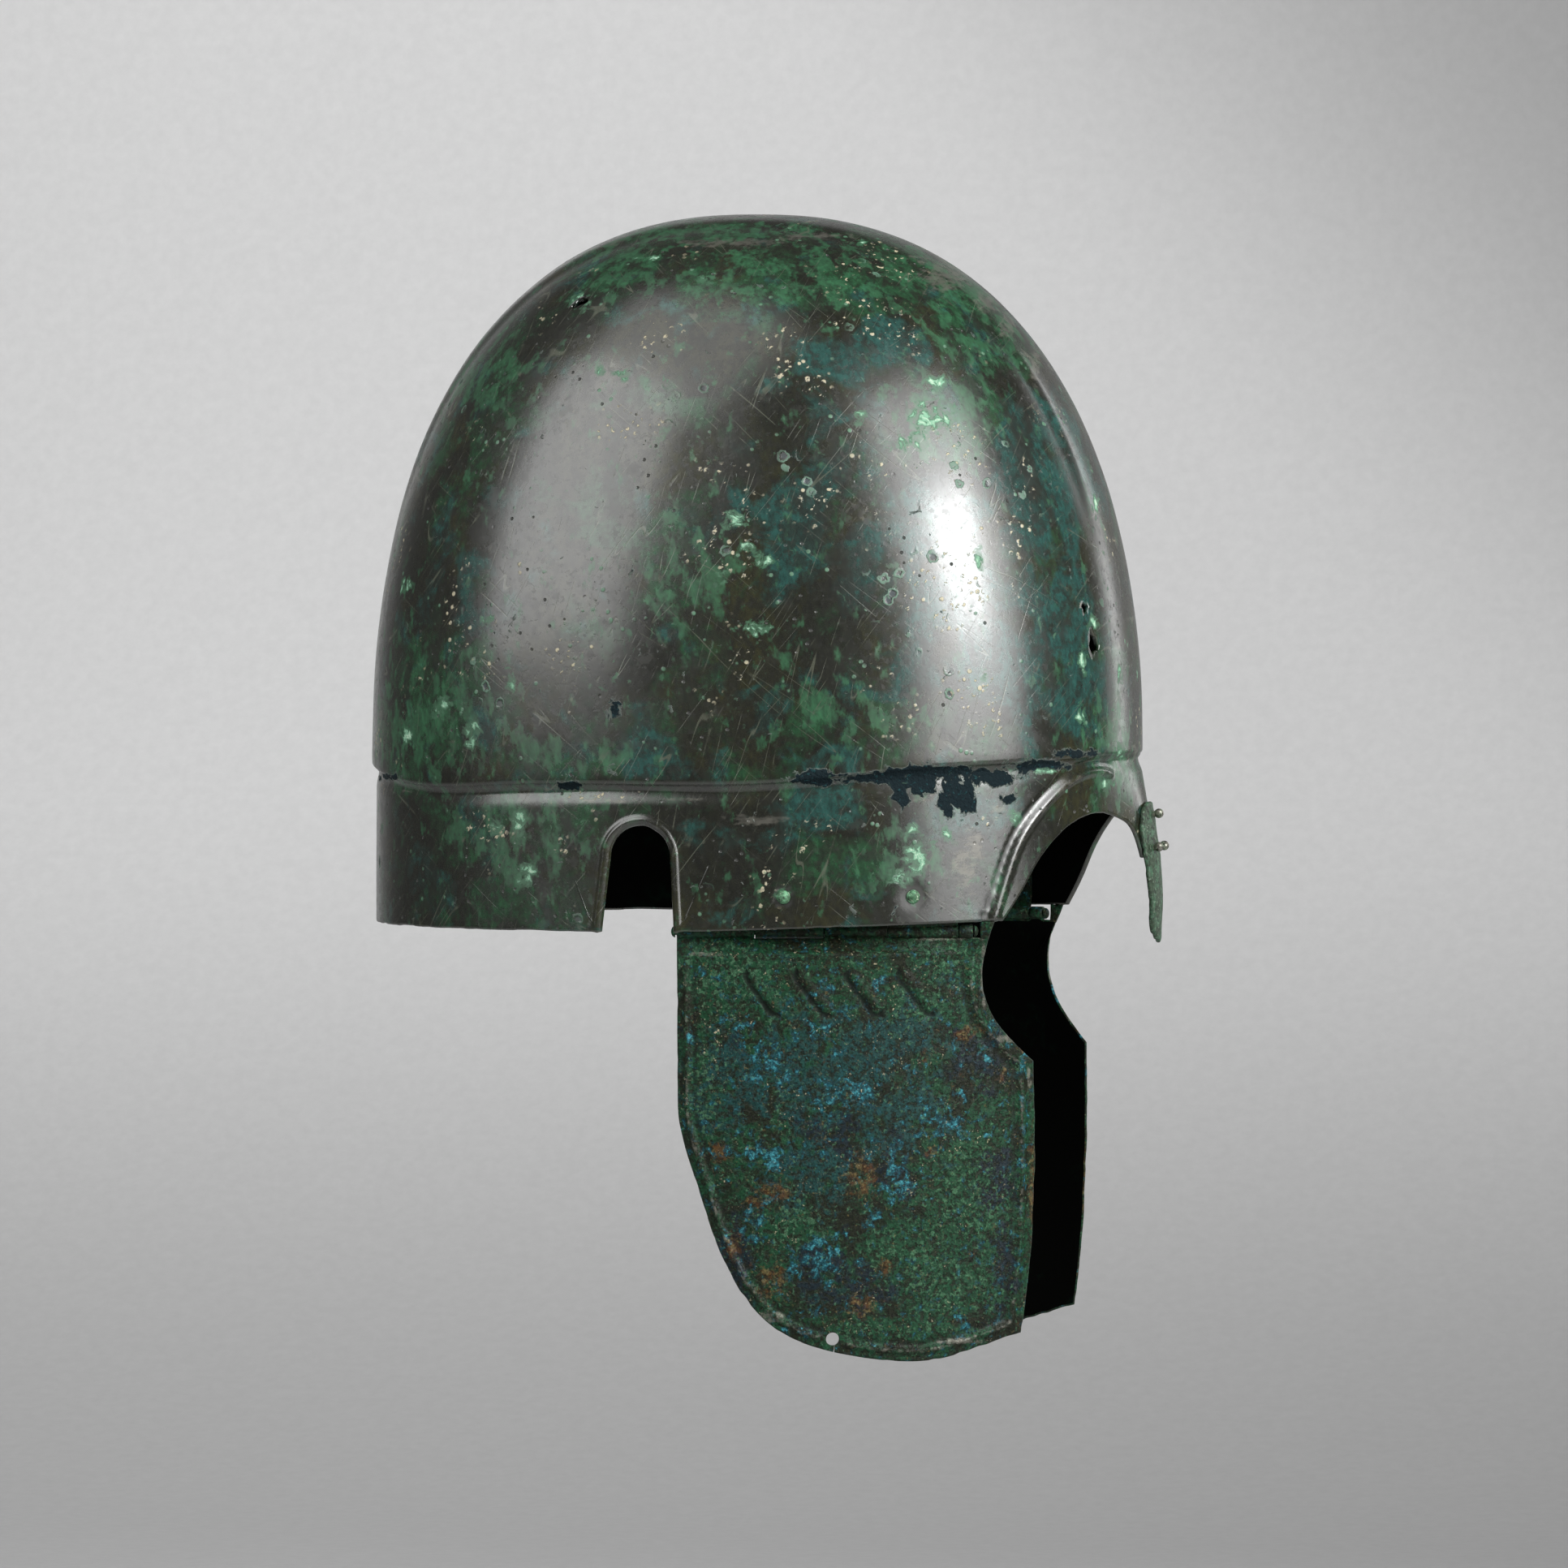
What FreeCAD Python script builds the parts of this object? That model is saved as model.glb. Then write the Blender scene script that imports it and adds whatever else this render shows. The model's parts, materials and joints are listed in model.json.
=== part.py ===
import FreeCAD, Part
import math
import os
from FreeCAD import Placement, Rotation, Vector

# Bronze helmet of the Chalcidian kind, hammered from one sheet, with a riveted nasal guard
# and two hinged cheek-pieces. Millimetres. +X is the face, +Y the wearer's left, +Z up.
# The origin is the middle of the head opening at the height of the rim.

doc = FreeCAD.newDocument("helmet")
sheet = doc.addObject("Spreadsheet::Sheet", "Sizes")

SIZES = [
    # The bowl, measured outside over the step
    ("bowl_half_length", 116.0),
    ("bowl_half_width", 95.0),
    ("bowl_wall", 1.4),
    ("dome_foot_height", 47.0),
    ("dome_rise", 165.7),
    # The step where the dome overhangs the band
    ("step_overhang", 1.3),
    ("step_height_back", 47.9),
    ("step_height_side", 43.2),
    ("step_height_front", 51.3),
    # The band below the step
    ("band_drop", 9.0),
    ("bridge_flare", 7.0),
    ("bridge_half_width", 17.0),
    ("temple_rise", 3.0),
    ("temple_front", 82.4),
    # The ear notch and its bead
    ("notch_foot_back", -31.5),
    ("notch_head_back", -27.5),
    ("notch_head_front", -9.4),
    ("notch_foot_front", -7.9),
    ("notch_shoulder", 22.0),
    ("notch_height", 31.0),
    ("bead_radius", 1.7),
    ("bead_stand", 0.8),
    # The eye openings and the brow ribs
    ("eye_half_spread", 70.0),
    ("eye_height", 33.8),
    ("stub_half_width", 9.5),
    ("stub_foot", 20.0),
    ("brow_height", 46.3),
    ("brow_rib_radius", 2.0),
    ("brow_rib_stand", 1.2),
    # The nasal guard and its rivets
    ("nasal_wall", 1.5),
    ("nasal_top", 36.0),
    ("nasal_tip", 5.3),
    ("nasal_half_width", 10.0),
    ("nasal_rivet_upper_height", 32.8),
    ("nasal_rivet_lower_height", 23.0),
    ("nasal_rivet_half_spacing", 5.5),
    ("nasal_rivet_shank", 0.9),
    ("nasal_rivet_head", 1.45),
    ("nasal_rivet_stand", 1.7),
    ("nasal_rivet_clench", 0.7),
    # The hinge of a cheek-piece
    ("pin_radius", 1.0),
    ("pin_rear", -9.6),
    ("pin_front", 78.4),
    ("pin_head_radius", 1.7),
    ("pin_head_height", 1.2),
    ("hinge_height", 0.2),
    ("knuckle_wall", 1.1),
    ("leaf_rear", 14.5),
    ("leaf_front", 72.5),
    ("leaf_wall", 1.2),
    ("leaf_bend_height", 6.5),
    ("leaf_top", 16.0),
    ("centre_knuckle_rear", 34.5),
    ("centre_knuckle_front", 52.0),
    ("end_knuckle_front", 76.8),
    ("pin_front_inset", 0.5),
    ("hinge_rivet_rear", 24.3),
    ("hinge_rivet_front", 61.0),
    ("hinge_rivet_height", 10.6),
    ("hinge_rivet_shank", 1.4),
    ("hinge_rivet_head", 2.1),
    ("hinge_rivet_crown", 1.6),
    ("hinge_rivet_clench", 0.9),
    # The cheek-piece
    ("cheek_wall", 1.4),
    ("cheek_rear", -8.0),
    ("cheek_front", 92.3),
    ("cheek_drop", 125.8),
    ("cheek_crease_height", -6.5),
    ("cheek_middle", 42.0),
    ("cheek_middle_draw", 10.4),
    ("cheek_front_draw", 38.0),
    ("cheek_lean", 4.9),
    ("cheek_bead_radius", 1.6),
    ("cheek_bead_stand", 0.9),
    ("cheek_bead_inset", 3.0),
    ("crease_line_radius", 0.9),
    ("crease_line_stand", 0.5),
    ("tongue_rear", 15.0),
    ("tongue_pitch", 14.5),
    ("tongue_top", -15.0),
    ("tongue_reach", 7.5),
    ("tongue_fall", 9.5),
    ("tongue_radius", 1.5),
    ("tongue_stand", 0.6),
    ("tie_hole_radius", 1.95),
    ("tie_hole_place", 37.0),
    ("tie_hole_height", -119.3),
    ("tie_hole_land", 1.4),
    # Clearances
    ("running_gap", 0.05),
    ("seat_gap", 0.05),
    ("swing_gap", 0.5),
    ("overrun", 20.0),
]
for row, (name, value) in enumerate(SIZES, start=1):
    sheet.set(f"A{row}", name)
    sheet.set(f"B{row}", str(value))
    sheet.setAlias(f"B{row}", name)
doc.recompute()


def size(name):
    """One driving dimension from the sheet."""
    return float(sheet.get(name))


# Shares and counts, which have no length
PLAN_POWER = 2.2
DOME_POWER = 2.36
RING_POINTS = 40
FRONT_CROWDING_SHARE = 0.7
DOME_STEPS = 9
DOME_TOP_SHARE = 0.955
TONGUE_COUNT = 4
TUBE_POINTS = 9
FRONT_SPANS = 4
CHEEK_MARGIN_SHARE = 0.2
EDGE_END_SLOPE = 0.25

# Heights of the band as shares of the front step's height, with the flare of the nose bridge
BAND_SHARES = [
    (-0.16, 0.88),
    (0.00, 0.95),
    (0.13, 1.00),
    (0.26, 0.96),
    (0.40, 0.87),
    (0.55, 0.69),
    (0.70, 0.53),
    (0.82, 0.36),
    (0.93, 0.20),
    (1.05, 0.06),
]
# The step in side view: share of the half length, then how far it rises to the back and the front
STEP_SHARES = [
    (-1.15, 1.2, 0.0),
    (-1.00, 1.0, 0.0),
    (-0.87, 0.15, 0.0),
    (-0.52, -0.06, 0.0),
    (-0.09, 0.0, 0.0),
    (0.21, 0.0, 0.11),
    (0.55, 0.0, 0.60),
    (0.76, 0.0, 0.76),
    (1.00, 0.0, 1.0),
    (1.15, 0.0, 1.1),
]
# The edge of an eye opening in front view, as shares of its half spread and height
EYE_SHARES = [
    (0.965, 0.06),
    (0.88, 0.39),
    (0.80, 0.68),
    (0.68, 0.90),
    (0.53, 1.00),
    (0.32, 0.955),
    (0.20, 0.86),
]
# The crest of a brow rib in front view, as shares of the eye's half spread and the brow height
BROW_SHARES = [
    (0.985, 0.09),
    (0.945, 0.36),
    (0.89, 0.61),
    (0.80, 0.80),
    (0.69, 0.935),
    (0.53, 1.00),
    (0.37, 0.985),
]
# Half the nasal guard in front view, as shares of its half width and of its height over the tip
NASAL_SHARES = [
    (0.70, 0.97),
    (1.00, 0.84),
    (0.98, 0.62),
    (0.78, 0.28),
    (0.58, 0.07),
]
# The lower edge of a cheek-piece, as shares of its length along X and of its drop
CHEEK_EDGE_SHARES = [
    (0.000, 0.40),
    (0.045, 0.56),
    (0.140, 0.775),
    (0.280, 0.922),
    (0.500, 0.987),
    (0.740, 0.998),
    (0.966, 0.945),
]
CHEEK_FRONT_SHARES = [(0.966, 0.945), (0.997, 0.69), (1.000, 0.306)]
CHEEK_MOUTH_SHARES = [(1.000, 0.306), (0.937, 0.250), (0.893, 0.198), (0.868, 0.097), (0.895, -0.010)]


def sheet_feature(label, shape):
    """A form whose shape comes from Part's own functions, placed after its shape is set."""
    feature = doc.addObject("Part::Feature", label)
    feature.Label = label
    feature.Shape = shape
    feature.Placement = Placement()
    return feature


def cut(label, base, tool):
    """Base minus tool, as a boolean of the document."""
    feature = doc.addObject("Part::Cut", label)
    feature.Base = base
    feature.Tool = tool
    feature.Refine = False
    return feature


def fuse(label, parts):
    """All the parts joined in one solid."""
    feature = doc.addObject("Part::MultiFuse", label)
    feature.Shapes = parts
    feature.Refine = False
    return feature


def common(label, parts):
    """What all the parts share."""
    feature = doc.addObject("Part::MultiCommon", label)
    feature.Shapes = parts
    feature.Refine = False
    return feature


def solid_of(kind, label, expressions):
    """A Part primitive whose sizes are bound to the sheet."""
    feature = doc.addObject(kind, label)
    for name, expression in expressions:
        feature.setExpression(name, expression)
    return feature


def together(label, parts):
    """Several forms kept side by side, to be cut away at once."""
    feature = doc.addObject("Part::Compound", label)
    feature.Links = parts
    return feature


def drill(label, radius, here, axis):
    """A plain drill through the metal at a place, long enough to pass both its faces."""
    feature = solid_of("Part::Cylinder", label, [("Radius", radius), ("Height", "Sizes.overrun")])
    feature.Placement = Placement(here - axis * (size("overrun") / 2), Rotation(Vector(0, 0, 1), axis))
    return feature


def mirrored(label, source):
    """The same piece on the wearer's left."""
    feature = doc.addObject("Part::Mirroring", label)
    feature.Label = label
    feature.Source = source
    feature.Normal = Vector(0, 1, 0)
    return feature


def signed_power(value, power):
    """The power of a number's size, with the number's own sign."""
    return math.copysign(abs(value) ** power, value)


def plan_out(x, half_length, half_width):
    """How far the rounded plan stands out sideways at x."""
    return half_width * (1 - abs(x / half_length) ** PLAN_POWER) ** (1 / PLAN_POWER)


def plan_forward(y, half_length, half_width):
    """How far the rounded plan stands forward at y."""
    return half_length * (1 - abs(y / half_width) ** PLAN_POWER) ** (1 / PLAN_POWER)


def plan_ring(z, half_length, half_width, flare):
    """A closed ring at height z, drawn forward at the nose bridge, with its points crowded there."""
    points = []
    for step in range(RING_POINTS):
        turn = 2 * math.pi * step / RING_POINTS
        angle = turn - FRONT_CROWDING_SHARE * math.sin(turn)
        x = half_length * signed_power(math.cos(angle), 2 / PLAN_POWER)
        y = half_width * signed_power(math.sin(angle), 2 / PLAN_POWER)
        if x > 0:
            x += flare * math.exp(-((y / size("bridge_half_width")) ** 2))
        points.append(Vector(x, y, z))
    places = [step / RING_POINTS for step in range(RING_POINTS + 1)]
    ring = Part.BSplineCurve()
    ring.interpolate(Points=points, PeriodicFlag=True, Parameters=places)
    return Part.Wire([ring.toShape()])


def dome_form(inset, foot):
    """The dome as a stack of rings on a rounded profile, straight from foot up to the equator."""
    half_length = size("bowl_half_length") - inset
    half_width = size("bowl_half_width") - inset
    rise = size("dome_rise") - inset
    rings = [plan_ring(foot, half_length, half_width, 0)]
    for step in range(DOME_STEPS + 1):
        angle = DOME_TOP_SHARE * step / DOME_STEPS * math.pi / 2
        out = math.cos(angle) ** (2 / DOME_POWER)
        up = math.sin(angle) ** (2 / DOME_POWER)
        z = size("dome_foot_height") + rise * up
        rings.append(plan_ring(z, half_length * out, half_width * out, 0))
    return Part.makeLoft(rings, True, False)


def band_form(inset):
    """The band as a stack of rings, with the nose bridge drawn forward."""
    half_length = size("bowl_half_length") - size("step_overhang") - inset
    half_width = size("bowl_half_width") - size("step_overhang") - inset
    rings = []
    for height_share, flare_share in BAND_SHARES:
        z = height_share * size("step_height_front")
        rings.append(plan_ring(z, half_length, half_width, flare_share * size("bridge_flare")))
    return Part.makeLoft(rings, True, False)


def bridge_flare_at(z):
    """The nose bridge's flare at height z, between the rings' own values."""
    share = z / size("step_height_front")
    for (low, low_flare), (high, high_flare) in zip(BAND_SHARES, BAND_SHARES[1:]):
        if share <= high:
            part = (share - low) / (high - low)
            return size("bridge_flare") * (low_flare + part * (high_flare - low_flare))
    return 0


def band_front_point(y, z, inset):
    """A point on the band's front at sideways place y and height z, inset below the surface."""
    half_length = size("bowl_half_length") - size("step_overhang") - inset
    half_width = size("bowl_half_width") - size("step_overhang") - inset
    bridge = bridge_flare_at(z) * math.exp(-((y / size("bridge_half_width")) ** 2))
    return Vector(plan_forward(y, half_length, half_width) + bridge, y, z)


def band_side_point(x, z, inset):
    """A point on the band's right side at place x and height z, inset below the surface."""
    half_length = size("bowl_half_length") - size("step_overhang") - inset
    half_width = size("bowl_half_width") - size("step_overhang") - inset
    return Vector(x, -plan_out(x, half_length, half_width), z)


def spline(points):
    """A smooth curve through the points."""
    curve = Part.BSplineCurve()
    curve.interpolate(points)
    return curve


def prism(edges, start, travel):
    """The closed outline of the edges, moved to start and drawn along travel."""
    outline = Part.Face(Part.Wire(edges))
    outline.translate(start)
    return outline.extrude(travel)


def tube(points, radius):
    """A round rib along a smooth curve, with ball ends."""
    curve = spline(points)
    path = Part.Wire([curve.toShape()])
    section = Part.Wire([Part.Circle(points[0], curve.tangent(curve.FirstParameter)[0], radius).toShape()])
    rib = path.makePipeShell([section], True, True)
    return rib.fuse([Part.makeSphere(radius, points[0]), Part.makeSphere(radius, points[-1])])


def step_region(lift):
    """Everything above the step's curve in side view, raised by lift."""
    side = size("step_height_side")
    points = []
    for x_share, back_share, front_share in STEP_SHARES:
        back_rise = back_share * (size("step_height_back") - side)
        front_rise = front_share * (size("step_height_front") - side)
        points.append(Vector(x_share * size("bowl_half_length"), 0, side + back_rise + front_rise + lift))
    top = size("dome_foot_height") + size("dome_rise") + size("overrun")
    corners = [points[-1], Vector(points[-1].x, 0, top), Vector(points[0].x, 0, top), points[0]]
    edges = [spline(points).toShape()]
    edges += [Part.makeLine(first, last) for first, last in zip(corners, corners[1:])]
    half = size("bowl_half_width") + size("overrun")
    return prism(edges, Vector(0, -half, 0), Vector(0, 2 * half, 0))


# The skull bowl
dome_outer = sheet_feature("dome_outer", dome_form(0, size("stub_foot")))
dome_inner = sheet_feature("dome_inner", dome_form(size("bowl_wall"), size("stub_foot")))
band_outer = sheet_feature("band_outer", band_form(0))
band_inner = sheet_feature("band_inner", band_form(size("bowl_wall")))
above_step = sheet_feature("above_step", step_region(0))
above_fold = sheet_feature("above_fold", step_region(size("bowl_wall")))
dome_above_step = common("dome_above_step", [dome_outer, above_step])
cavity_above_fold = common("cavity_above_fold", [dome_inner, above_fold])

# The ear notch, with a bead along its edge
notch_low = Vector(size("notch_foot_back"), 0, -size("band_drop"))
notch_back = Vector(size("notch_head_back"), 0, size("notch_shoulder"))
notch_mid = Vector((size("notch_head_back") + size("notch_head_front")) / 2, 0, size("notch_height"))
notch_front = Vector(size("notch_head_front"), 0, size("notch_shoulder"))
notch_end = Vector(size("notch_foot_front"), 0, -size("band_drop"))
notch_edges = [
    Part.makeLine(notch_low, notch_back),
    Part.Arc(notch_back, notch_mid, notch_front).toShape(),
    Part.makeLine(notch_front, notch_end),
    Part.makeLine(notch_end, notch_low),
]
side_reach = size("bowl_half_width") + size("overrun")
notch_cutter = sheet_feature("notch_cutter", prism(notch_edges, Vector(0, -side_reach, 0),
                                                   Vector(0, 2 * side_reach, 0)))


def notch_bead_points():
    """Points on the right wall, one bead radius outside the notch's edge."""
    out = size("bead_radius")
    depth = size("bead_radius") - size("bead_stand")
    haunch = (size("notch_shoulder") + notch_mid.z) / 2 + out
    places = [
        (size("notch_foot_back") - out, 0),
        (size("notch_head_back") - out, size("notch_shoulder")),
        ((size("notch_head_back") + notch_mid.x) / 2 - out, haunch),
        (notch_mid.x, notch_mid.z + out),
        ((size("notch_head_front") + notch_mid.x) / 2 + out, haunch),
        (size("notch_head_front") + out, size("notch_shoulder")),
        (size("notch_foot_front") + out, 0),
    ]
    return [band_side_point(x, z, depth) for x, z in places]


notch_bead_right = sheet_feature("notch_bead_right", tube(notch_bead_points(), size("bead_radius")))
notch_bead_left = mirrored("notch_bead_left", notch_bead_right)


def brow_points():
    """Points along the crest of the right brow rib, sunk so that the rib stands proud by its stand."""
    depth = size("brow_rib_radius") - size("brow_rib_stand")
    points = []
    for y_share, z_share in BROW_SHARES:
        y = -y_share * size("eye_half_spread")
        points.append(band_front_point(y, z_share * size("brow_height"), depth))
    return points


brow_rib_right = sheet_feature("brow_rib_right", tube(brow_points(), size("brow_rib_radius")))
brow_rib_left = mirrored("brow_rib_left", brow_rib_right)


def eye_region():
    """What both eye openings take away, below the brows and beside and under the nose stub."""
    spread = size("eye_half_spread")
    right = [Vector(0, -y_share * spread, z_share * size("eye_height")) for y_share, z_share in EYE_SHARES]
    right.append(Vector(0, -size("stub_half_width"), size("stub_foot")))
    left = [Vector(0, -point.y, point.z) for point in reversed(right)]
    low_right = Vector(0, right[0].y, -size("band_drop"))
    low_left = Vector(0, -low_right.y, low_right.z)
    edges = [
        spline(right).toShape(),
        Part.makeLine(right[-1], left[0]),
        spline(left).toShape(),
        Part.makeLine(left[-1], low_left),
        Part.makeLine(low_left, low_right),
        Part.makeLine(low_right, right[0]),
    ]
    return prism(edges, Vector(size("cheek_middle"), 0, 0), Vector(size("bowl_half_length"), 0, 0))


def rim_region():
    """What lies below the rim in side view: level behind, rising along the temples."""
    reach = size("bowl_half_length") + size("overrun")
    rise = size("temple_rise") / (size("temple_front") - size("notch_foot_front"))
    corners = [
        Vector(-reach, 0, 0),
        Vector(size("notch_foot_front"), 0, 0),
        Vector(reach, 0, rise * (reach - size("notch_foot_front"))),
        Vector(reach, 0, -size("overrun")),
        Vector(-reach, 0, -size("overrun")),
        Vector(-reach, 0, 0),
    ]
    edges = [Part.makeLine(first, last) for first, last in zip(corners, corners[1:])]
    return prism(edges, Vector(0, -side_reach, 0), Vector(0, 2 * side_reach, 0))


eye_cutter = sheet_feature("eye_cutter", eye_region())
rim_cutter = sheet_feature("rim_cutter", rim_region())


def rivet_place(x):
    """Where a hinge rivet meets the band's outside, and its axis pointing out of the helmet."""
    here = band_side_point(x, size("hinge_rivet_height"), 0)
    before = band_side_point(x - size("pin_radius"), here.z, 0)
    after = band_side_point(x + size("pin_radius"), here.z, 0)
    along = (after - before).normalize()
    return here, along.cross(Vector(0, 0, 1))


def nasal_place(y, z):
    """Where a nasal rivet meets the nasal guard's outside, and its axis square to the guard there."""
    outside = -size("seat_gap") - size("nasal_wall")
    reach = size("nasal_rivet_head")
    up = band_front_point(y, z + reach, outside) - band_front_point(y, z - reach, outside)
    across = band_front_point(y + reach, z, outside) - band_front_point(y - reach, z, outside)
    return band_front_point(y, z, outside), across.cross(up).normalize()


HINGE_RIVET_PLACES = {
    "rear": rivet_place(size("hinge_rivet_rear")),
    "front": rivet_place(size("hinge_rivet_front")),
}
NASAL_RIVET_PLACES = {
    "upper": nasal_place(0, size("nasal_rivet_upper_height")),
    "lower_right": nasal_place(-size("nasal_rivet_half_spacing"), size("nasal_rivet_lower_height")),
    "lower_left": nasal_place(size("nasal_rivet_half_spacing"), size("nasal_rivet_lower_height")),
}


hinge_holes_right = together("hinge_holes_right", [
    drill("hinge_hole_" + name, "Sizes.hinge_rivet_shank + Sizes.seat_gap", here, axis)
    for name, (here, axis) in HINGE_RIVET_PLACES.items()])
hinge_holes_left = mirrored("hinge_holes_left", hinge_holes_right)
nasal_holes = together("nasal_holes", [
    drill("nasal_hole_" + name, "Sizes.nasal_rivet_shank + Sizes.seat_gap", here, axis)
    for name, (here, axis) in NASAL_RIVET_PLACES.items()])

bowl_outside = fuse("bowl_outside", [dome_above_step, band_outer, brow_rib_right, brow_rib_left,
                                     notch_bead_right, notch_bead_left])
bowl_inside = fuse("bowl_inside", [cavity_above_fold, band_inner])
bowl_shell = cut("bowl_shell", bowl_outside, bowl_inside)
bowl_openings = fuse("bowl_openings", [rim_cutter, eye_cutter, notch_cutter])
bowl_open = cut("bowl_open", bowl_shell, bowl_openings)
bowl_drilled = cut("bowl_drilled", bowl_open, hinge_holes_right)
bowl_drilled_twice = cut("bowl_drilled_twice", bowl_drilled, hinge_holes_left)
skull_bowl = cut("skull_bowl", bowl_drilled_twice, nasal_holes)

# The nasal guard, a tongue of sheet that lies on the nose stub and runs down past it


def nasal_region():
    """The nasal guard's outline in front view, drawn along X."""
    height = size("nasal_top") + size("nasal_tip")
    right = [Vector(0, 0, size("nasal_top"))]
    for y_share, z_share in NASAL_SHARES:
        right.append(Vector(0, -y_share * size("nasal_half_width"), z_share * height - size("nasal_tip")))
    right.append(Vector(0, 0, -size("nasal_tip")))
    left = [Vector(0, -point.y, point.z) for point in reversed(right)]
    edges = [spline(right).toShape(), spline(left).toShape()]
    return prism(edges, Vector(size("cheek_middle"), 0, 0), Vector(size("bowl_half_length"), 0, 0))


nasal_outer = sheet_feature("nasal_outer", band_form(-size("seat_gap") - size("nasal_wall")))
nasal_inner = sheet_feature("nasal_inner", band_form(-size("seat_gap")))
nasal_outline = sheet_feature("nasal_outline", nasal_region())
nasal_sheet = cut("nasal_sheet", nasal_outer, nasal_inner)
nasal_plate = common("nasal_plate", [nasal_sheet, nasal_outline])
nasal_guard = cut("nasal_guard", nasal_plate, nasal_holes)

# Rivets


def dome_head(label, radius, height, place, upward):
    """Half an ellipsoid on a flat seat, its crown turned up or down."""
    head = solid_of("Part::Ellipsoid", label, [("Radius1", height), ("Radius2", radius)])
    head.Angle1 = 0 if upward else -90
    head.Angle2 = 90 if upward else 0
    head.setExpression("Placement.Base.z", place)
    return head


def hinge_rivet(label, here, axis):
    """A rivet through the bowl and the hinge leaf, domed outside and clenched inside."""
    grip = "(Sizes.bowl_wall + Sizes.leaf_wall + 2 * Sizes.seat_gap)"
    shank = solid_of("Part::Cylinder", label + "_shank",
                     [("Radius", "Sizes.hinge_rivet_shank"), ("Height", grip)])
    shank.setExpression("Placement.Base.z", "-" + grip)
    head = dome_head(label + "_head", "Sizes.hinge_rivet_head", "Sizes.hinge_rivet_crown", "0 mm", True)
    clench = dome_head(label + "_clench", "Sizes.hinge_rivet_head", "Sizes.hinge_rivet_clench",
                       "-" + grip, False)
    whole = fuse(label, [shank, head, clench])
    whole.Label = label
    whole.Placement = Placement(here, Rotation(Vector(0, 0, 1), axis))
    return whole


def nasal_rivet(label, here, axis):
    """A rivet through the nasal guard and the nose stub, with a ball head on a short neck."""
    grip = "(Sizes.bowl_wall + Sizes.nasal_wall + 3 * Sizes.seat_gap)"
    shank = solid_of("Part::Cylinder", label + "_shank",
                     [("Radius", "Sizes.nasal_rivet_shank"),
                      ("Height", grip + " + Sizes.nasal_rivet_stand")])
    shank.setExpression("Placement.Base.z", "-" + grip)
    ball = solid_of("Part::Sphere", label + "_ball", [("Radius", "Sizes.nasal_rivet_head")])
    ball.setExpression("Placement.Base.z", "Sizes.nasal_rivet_stand")
    clench = dome_head(label + "_clench", "Sizes.nasal_rivet_head", "Sizes.nasal_rivet_clench",
                       "-" + grip, False)
    whole = fuse(label, [shank, ball, clench])
    whole.Label = label
    whole.Placement = Placement(here, Rotation(Vector(0, 0, 1), axis))
    return whole


nasal_rivets = [nasal_rivet("nasal_rivet_" + name, here, axis)
                for name, (here, axis) in NASAL_RIVET_PLACES.items()]
hinge_rivets_right = [hinge_rivet(f"hinge_rivet_{name}_right", here, axis)
                      for name, (here, axis) in HINGE_RIVET_PLACES.items()]
hinge_rivets_left = [mirrored(f"hinge_rivet_{name}_left", right)
                     for name, right in zip(HINGE_RIVET_PLACES, hinge_rivets_right)]

# The hinge: a straight pin just inside the rim, from the ear notch to the temple's front corner
inner_half_length = size("bowl_half_length") - size("step_overhang") - size("bowl_wall")
inner_half_width = size("bowl_half_width") - size("step_overhang") - size("bowl_wall")
swing_radius = size("pin_radius") + size("knuckle_wall") + size("swing_gap")
pin_rear_y = swing_radius - plan_out(size("pin_rear"), inner_half_length, inner_half_width)
pin_front_y = size("pin_front_inset") - plan_out(size("pin_front"), inner_half_length, inner_half_width)
pin_line = (Vector(size("pin_front"), pin_front_y, 0) - Vector(size("pin_rear"), pin_rear_y, 0)).normalize()


def pin_point(x):
    """The point of the hinge's axis at place x."""
    reach = (x - size("pin_rear")) / pin_line.x
    return Vector(size("pin_rear"), pin_rear_y, size("hinge_height")) + pin_line * reach


KNUCKLE_RADIUS = "Sizes.pin_radius + Sizes.knuckle_wall"
SWING_RADIUS = "Sizes.pin_radius + Sizes.knuckle_wall + Sizes.swing_gap"
BORE_RADIUS = "Sizes.pin_radius + Sizes.running_gap"


def rod(label, radius, rear, front):
    """A round rod on the hinge's axis between two places along X, all given as expressions."""
    feature = solid_of("Part::Cylinder", label, [("Radius", radius),
                                                 ("Height", f"(({front}) - ({rear})) / {pin_line.x}")])
    feature.Placement = Placement(Vector(), Rotation(Vector(0, 0, 1), pin_line))
    feature.setExpression("Placement.Base.x", rear)
    feature.setExpression("Placement.Base.y",
                          f"{pin_rear_y} + (({rear}) - Sizes.pin_rear) * {pin_line.y / pin_line.x}")
    feature.setExpression("Placement.Base.z", "Sizes.hinge_height")
    return feature


def pin(label):
    """The hinge pin: a plain rod with a peened dome at each end."""
    length = f"((Sizes.pin_front - Sizes.pin_rear) / {pin_line.x})"
    shank = solid_of("Part::Cylinder", label + "_shank",
                     [("Radius", "Sizes.pin_radius"), ("Height", length + " - 2 * Sizes.pin_head_height")])
    shank.setExpression("Placement.Base.z", "Sizes.pin_head_height")
    rear = dome_head(label + "_rear_head", "Sizes.pin_head_radius", "Sizes.pin_head_height",
                     "Sizes.pin_head_height", False)
    front = dome_head(label + "_front_head", "Sizes.pin_head_radius", "Sizes.pin_head_height",
                      length + " - Sizes.pin_head_height", True)
    whole = fuse(label, [shank, rear, front])
    whole.Label = label
    whole.Placement = Placement(pin_point(size("pin_rear")), Rotation(Vector(0, 0, 1), pin_line))
    return whole


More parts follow.
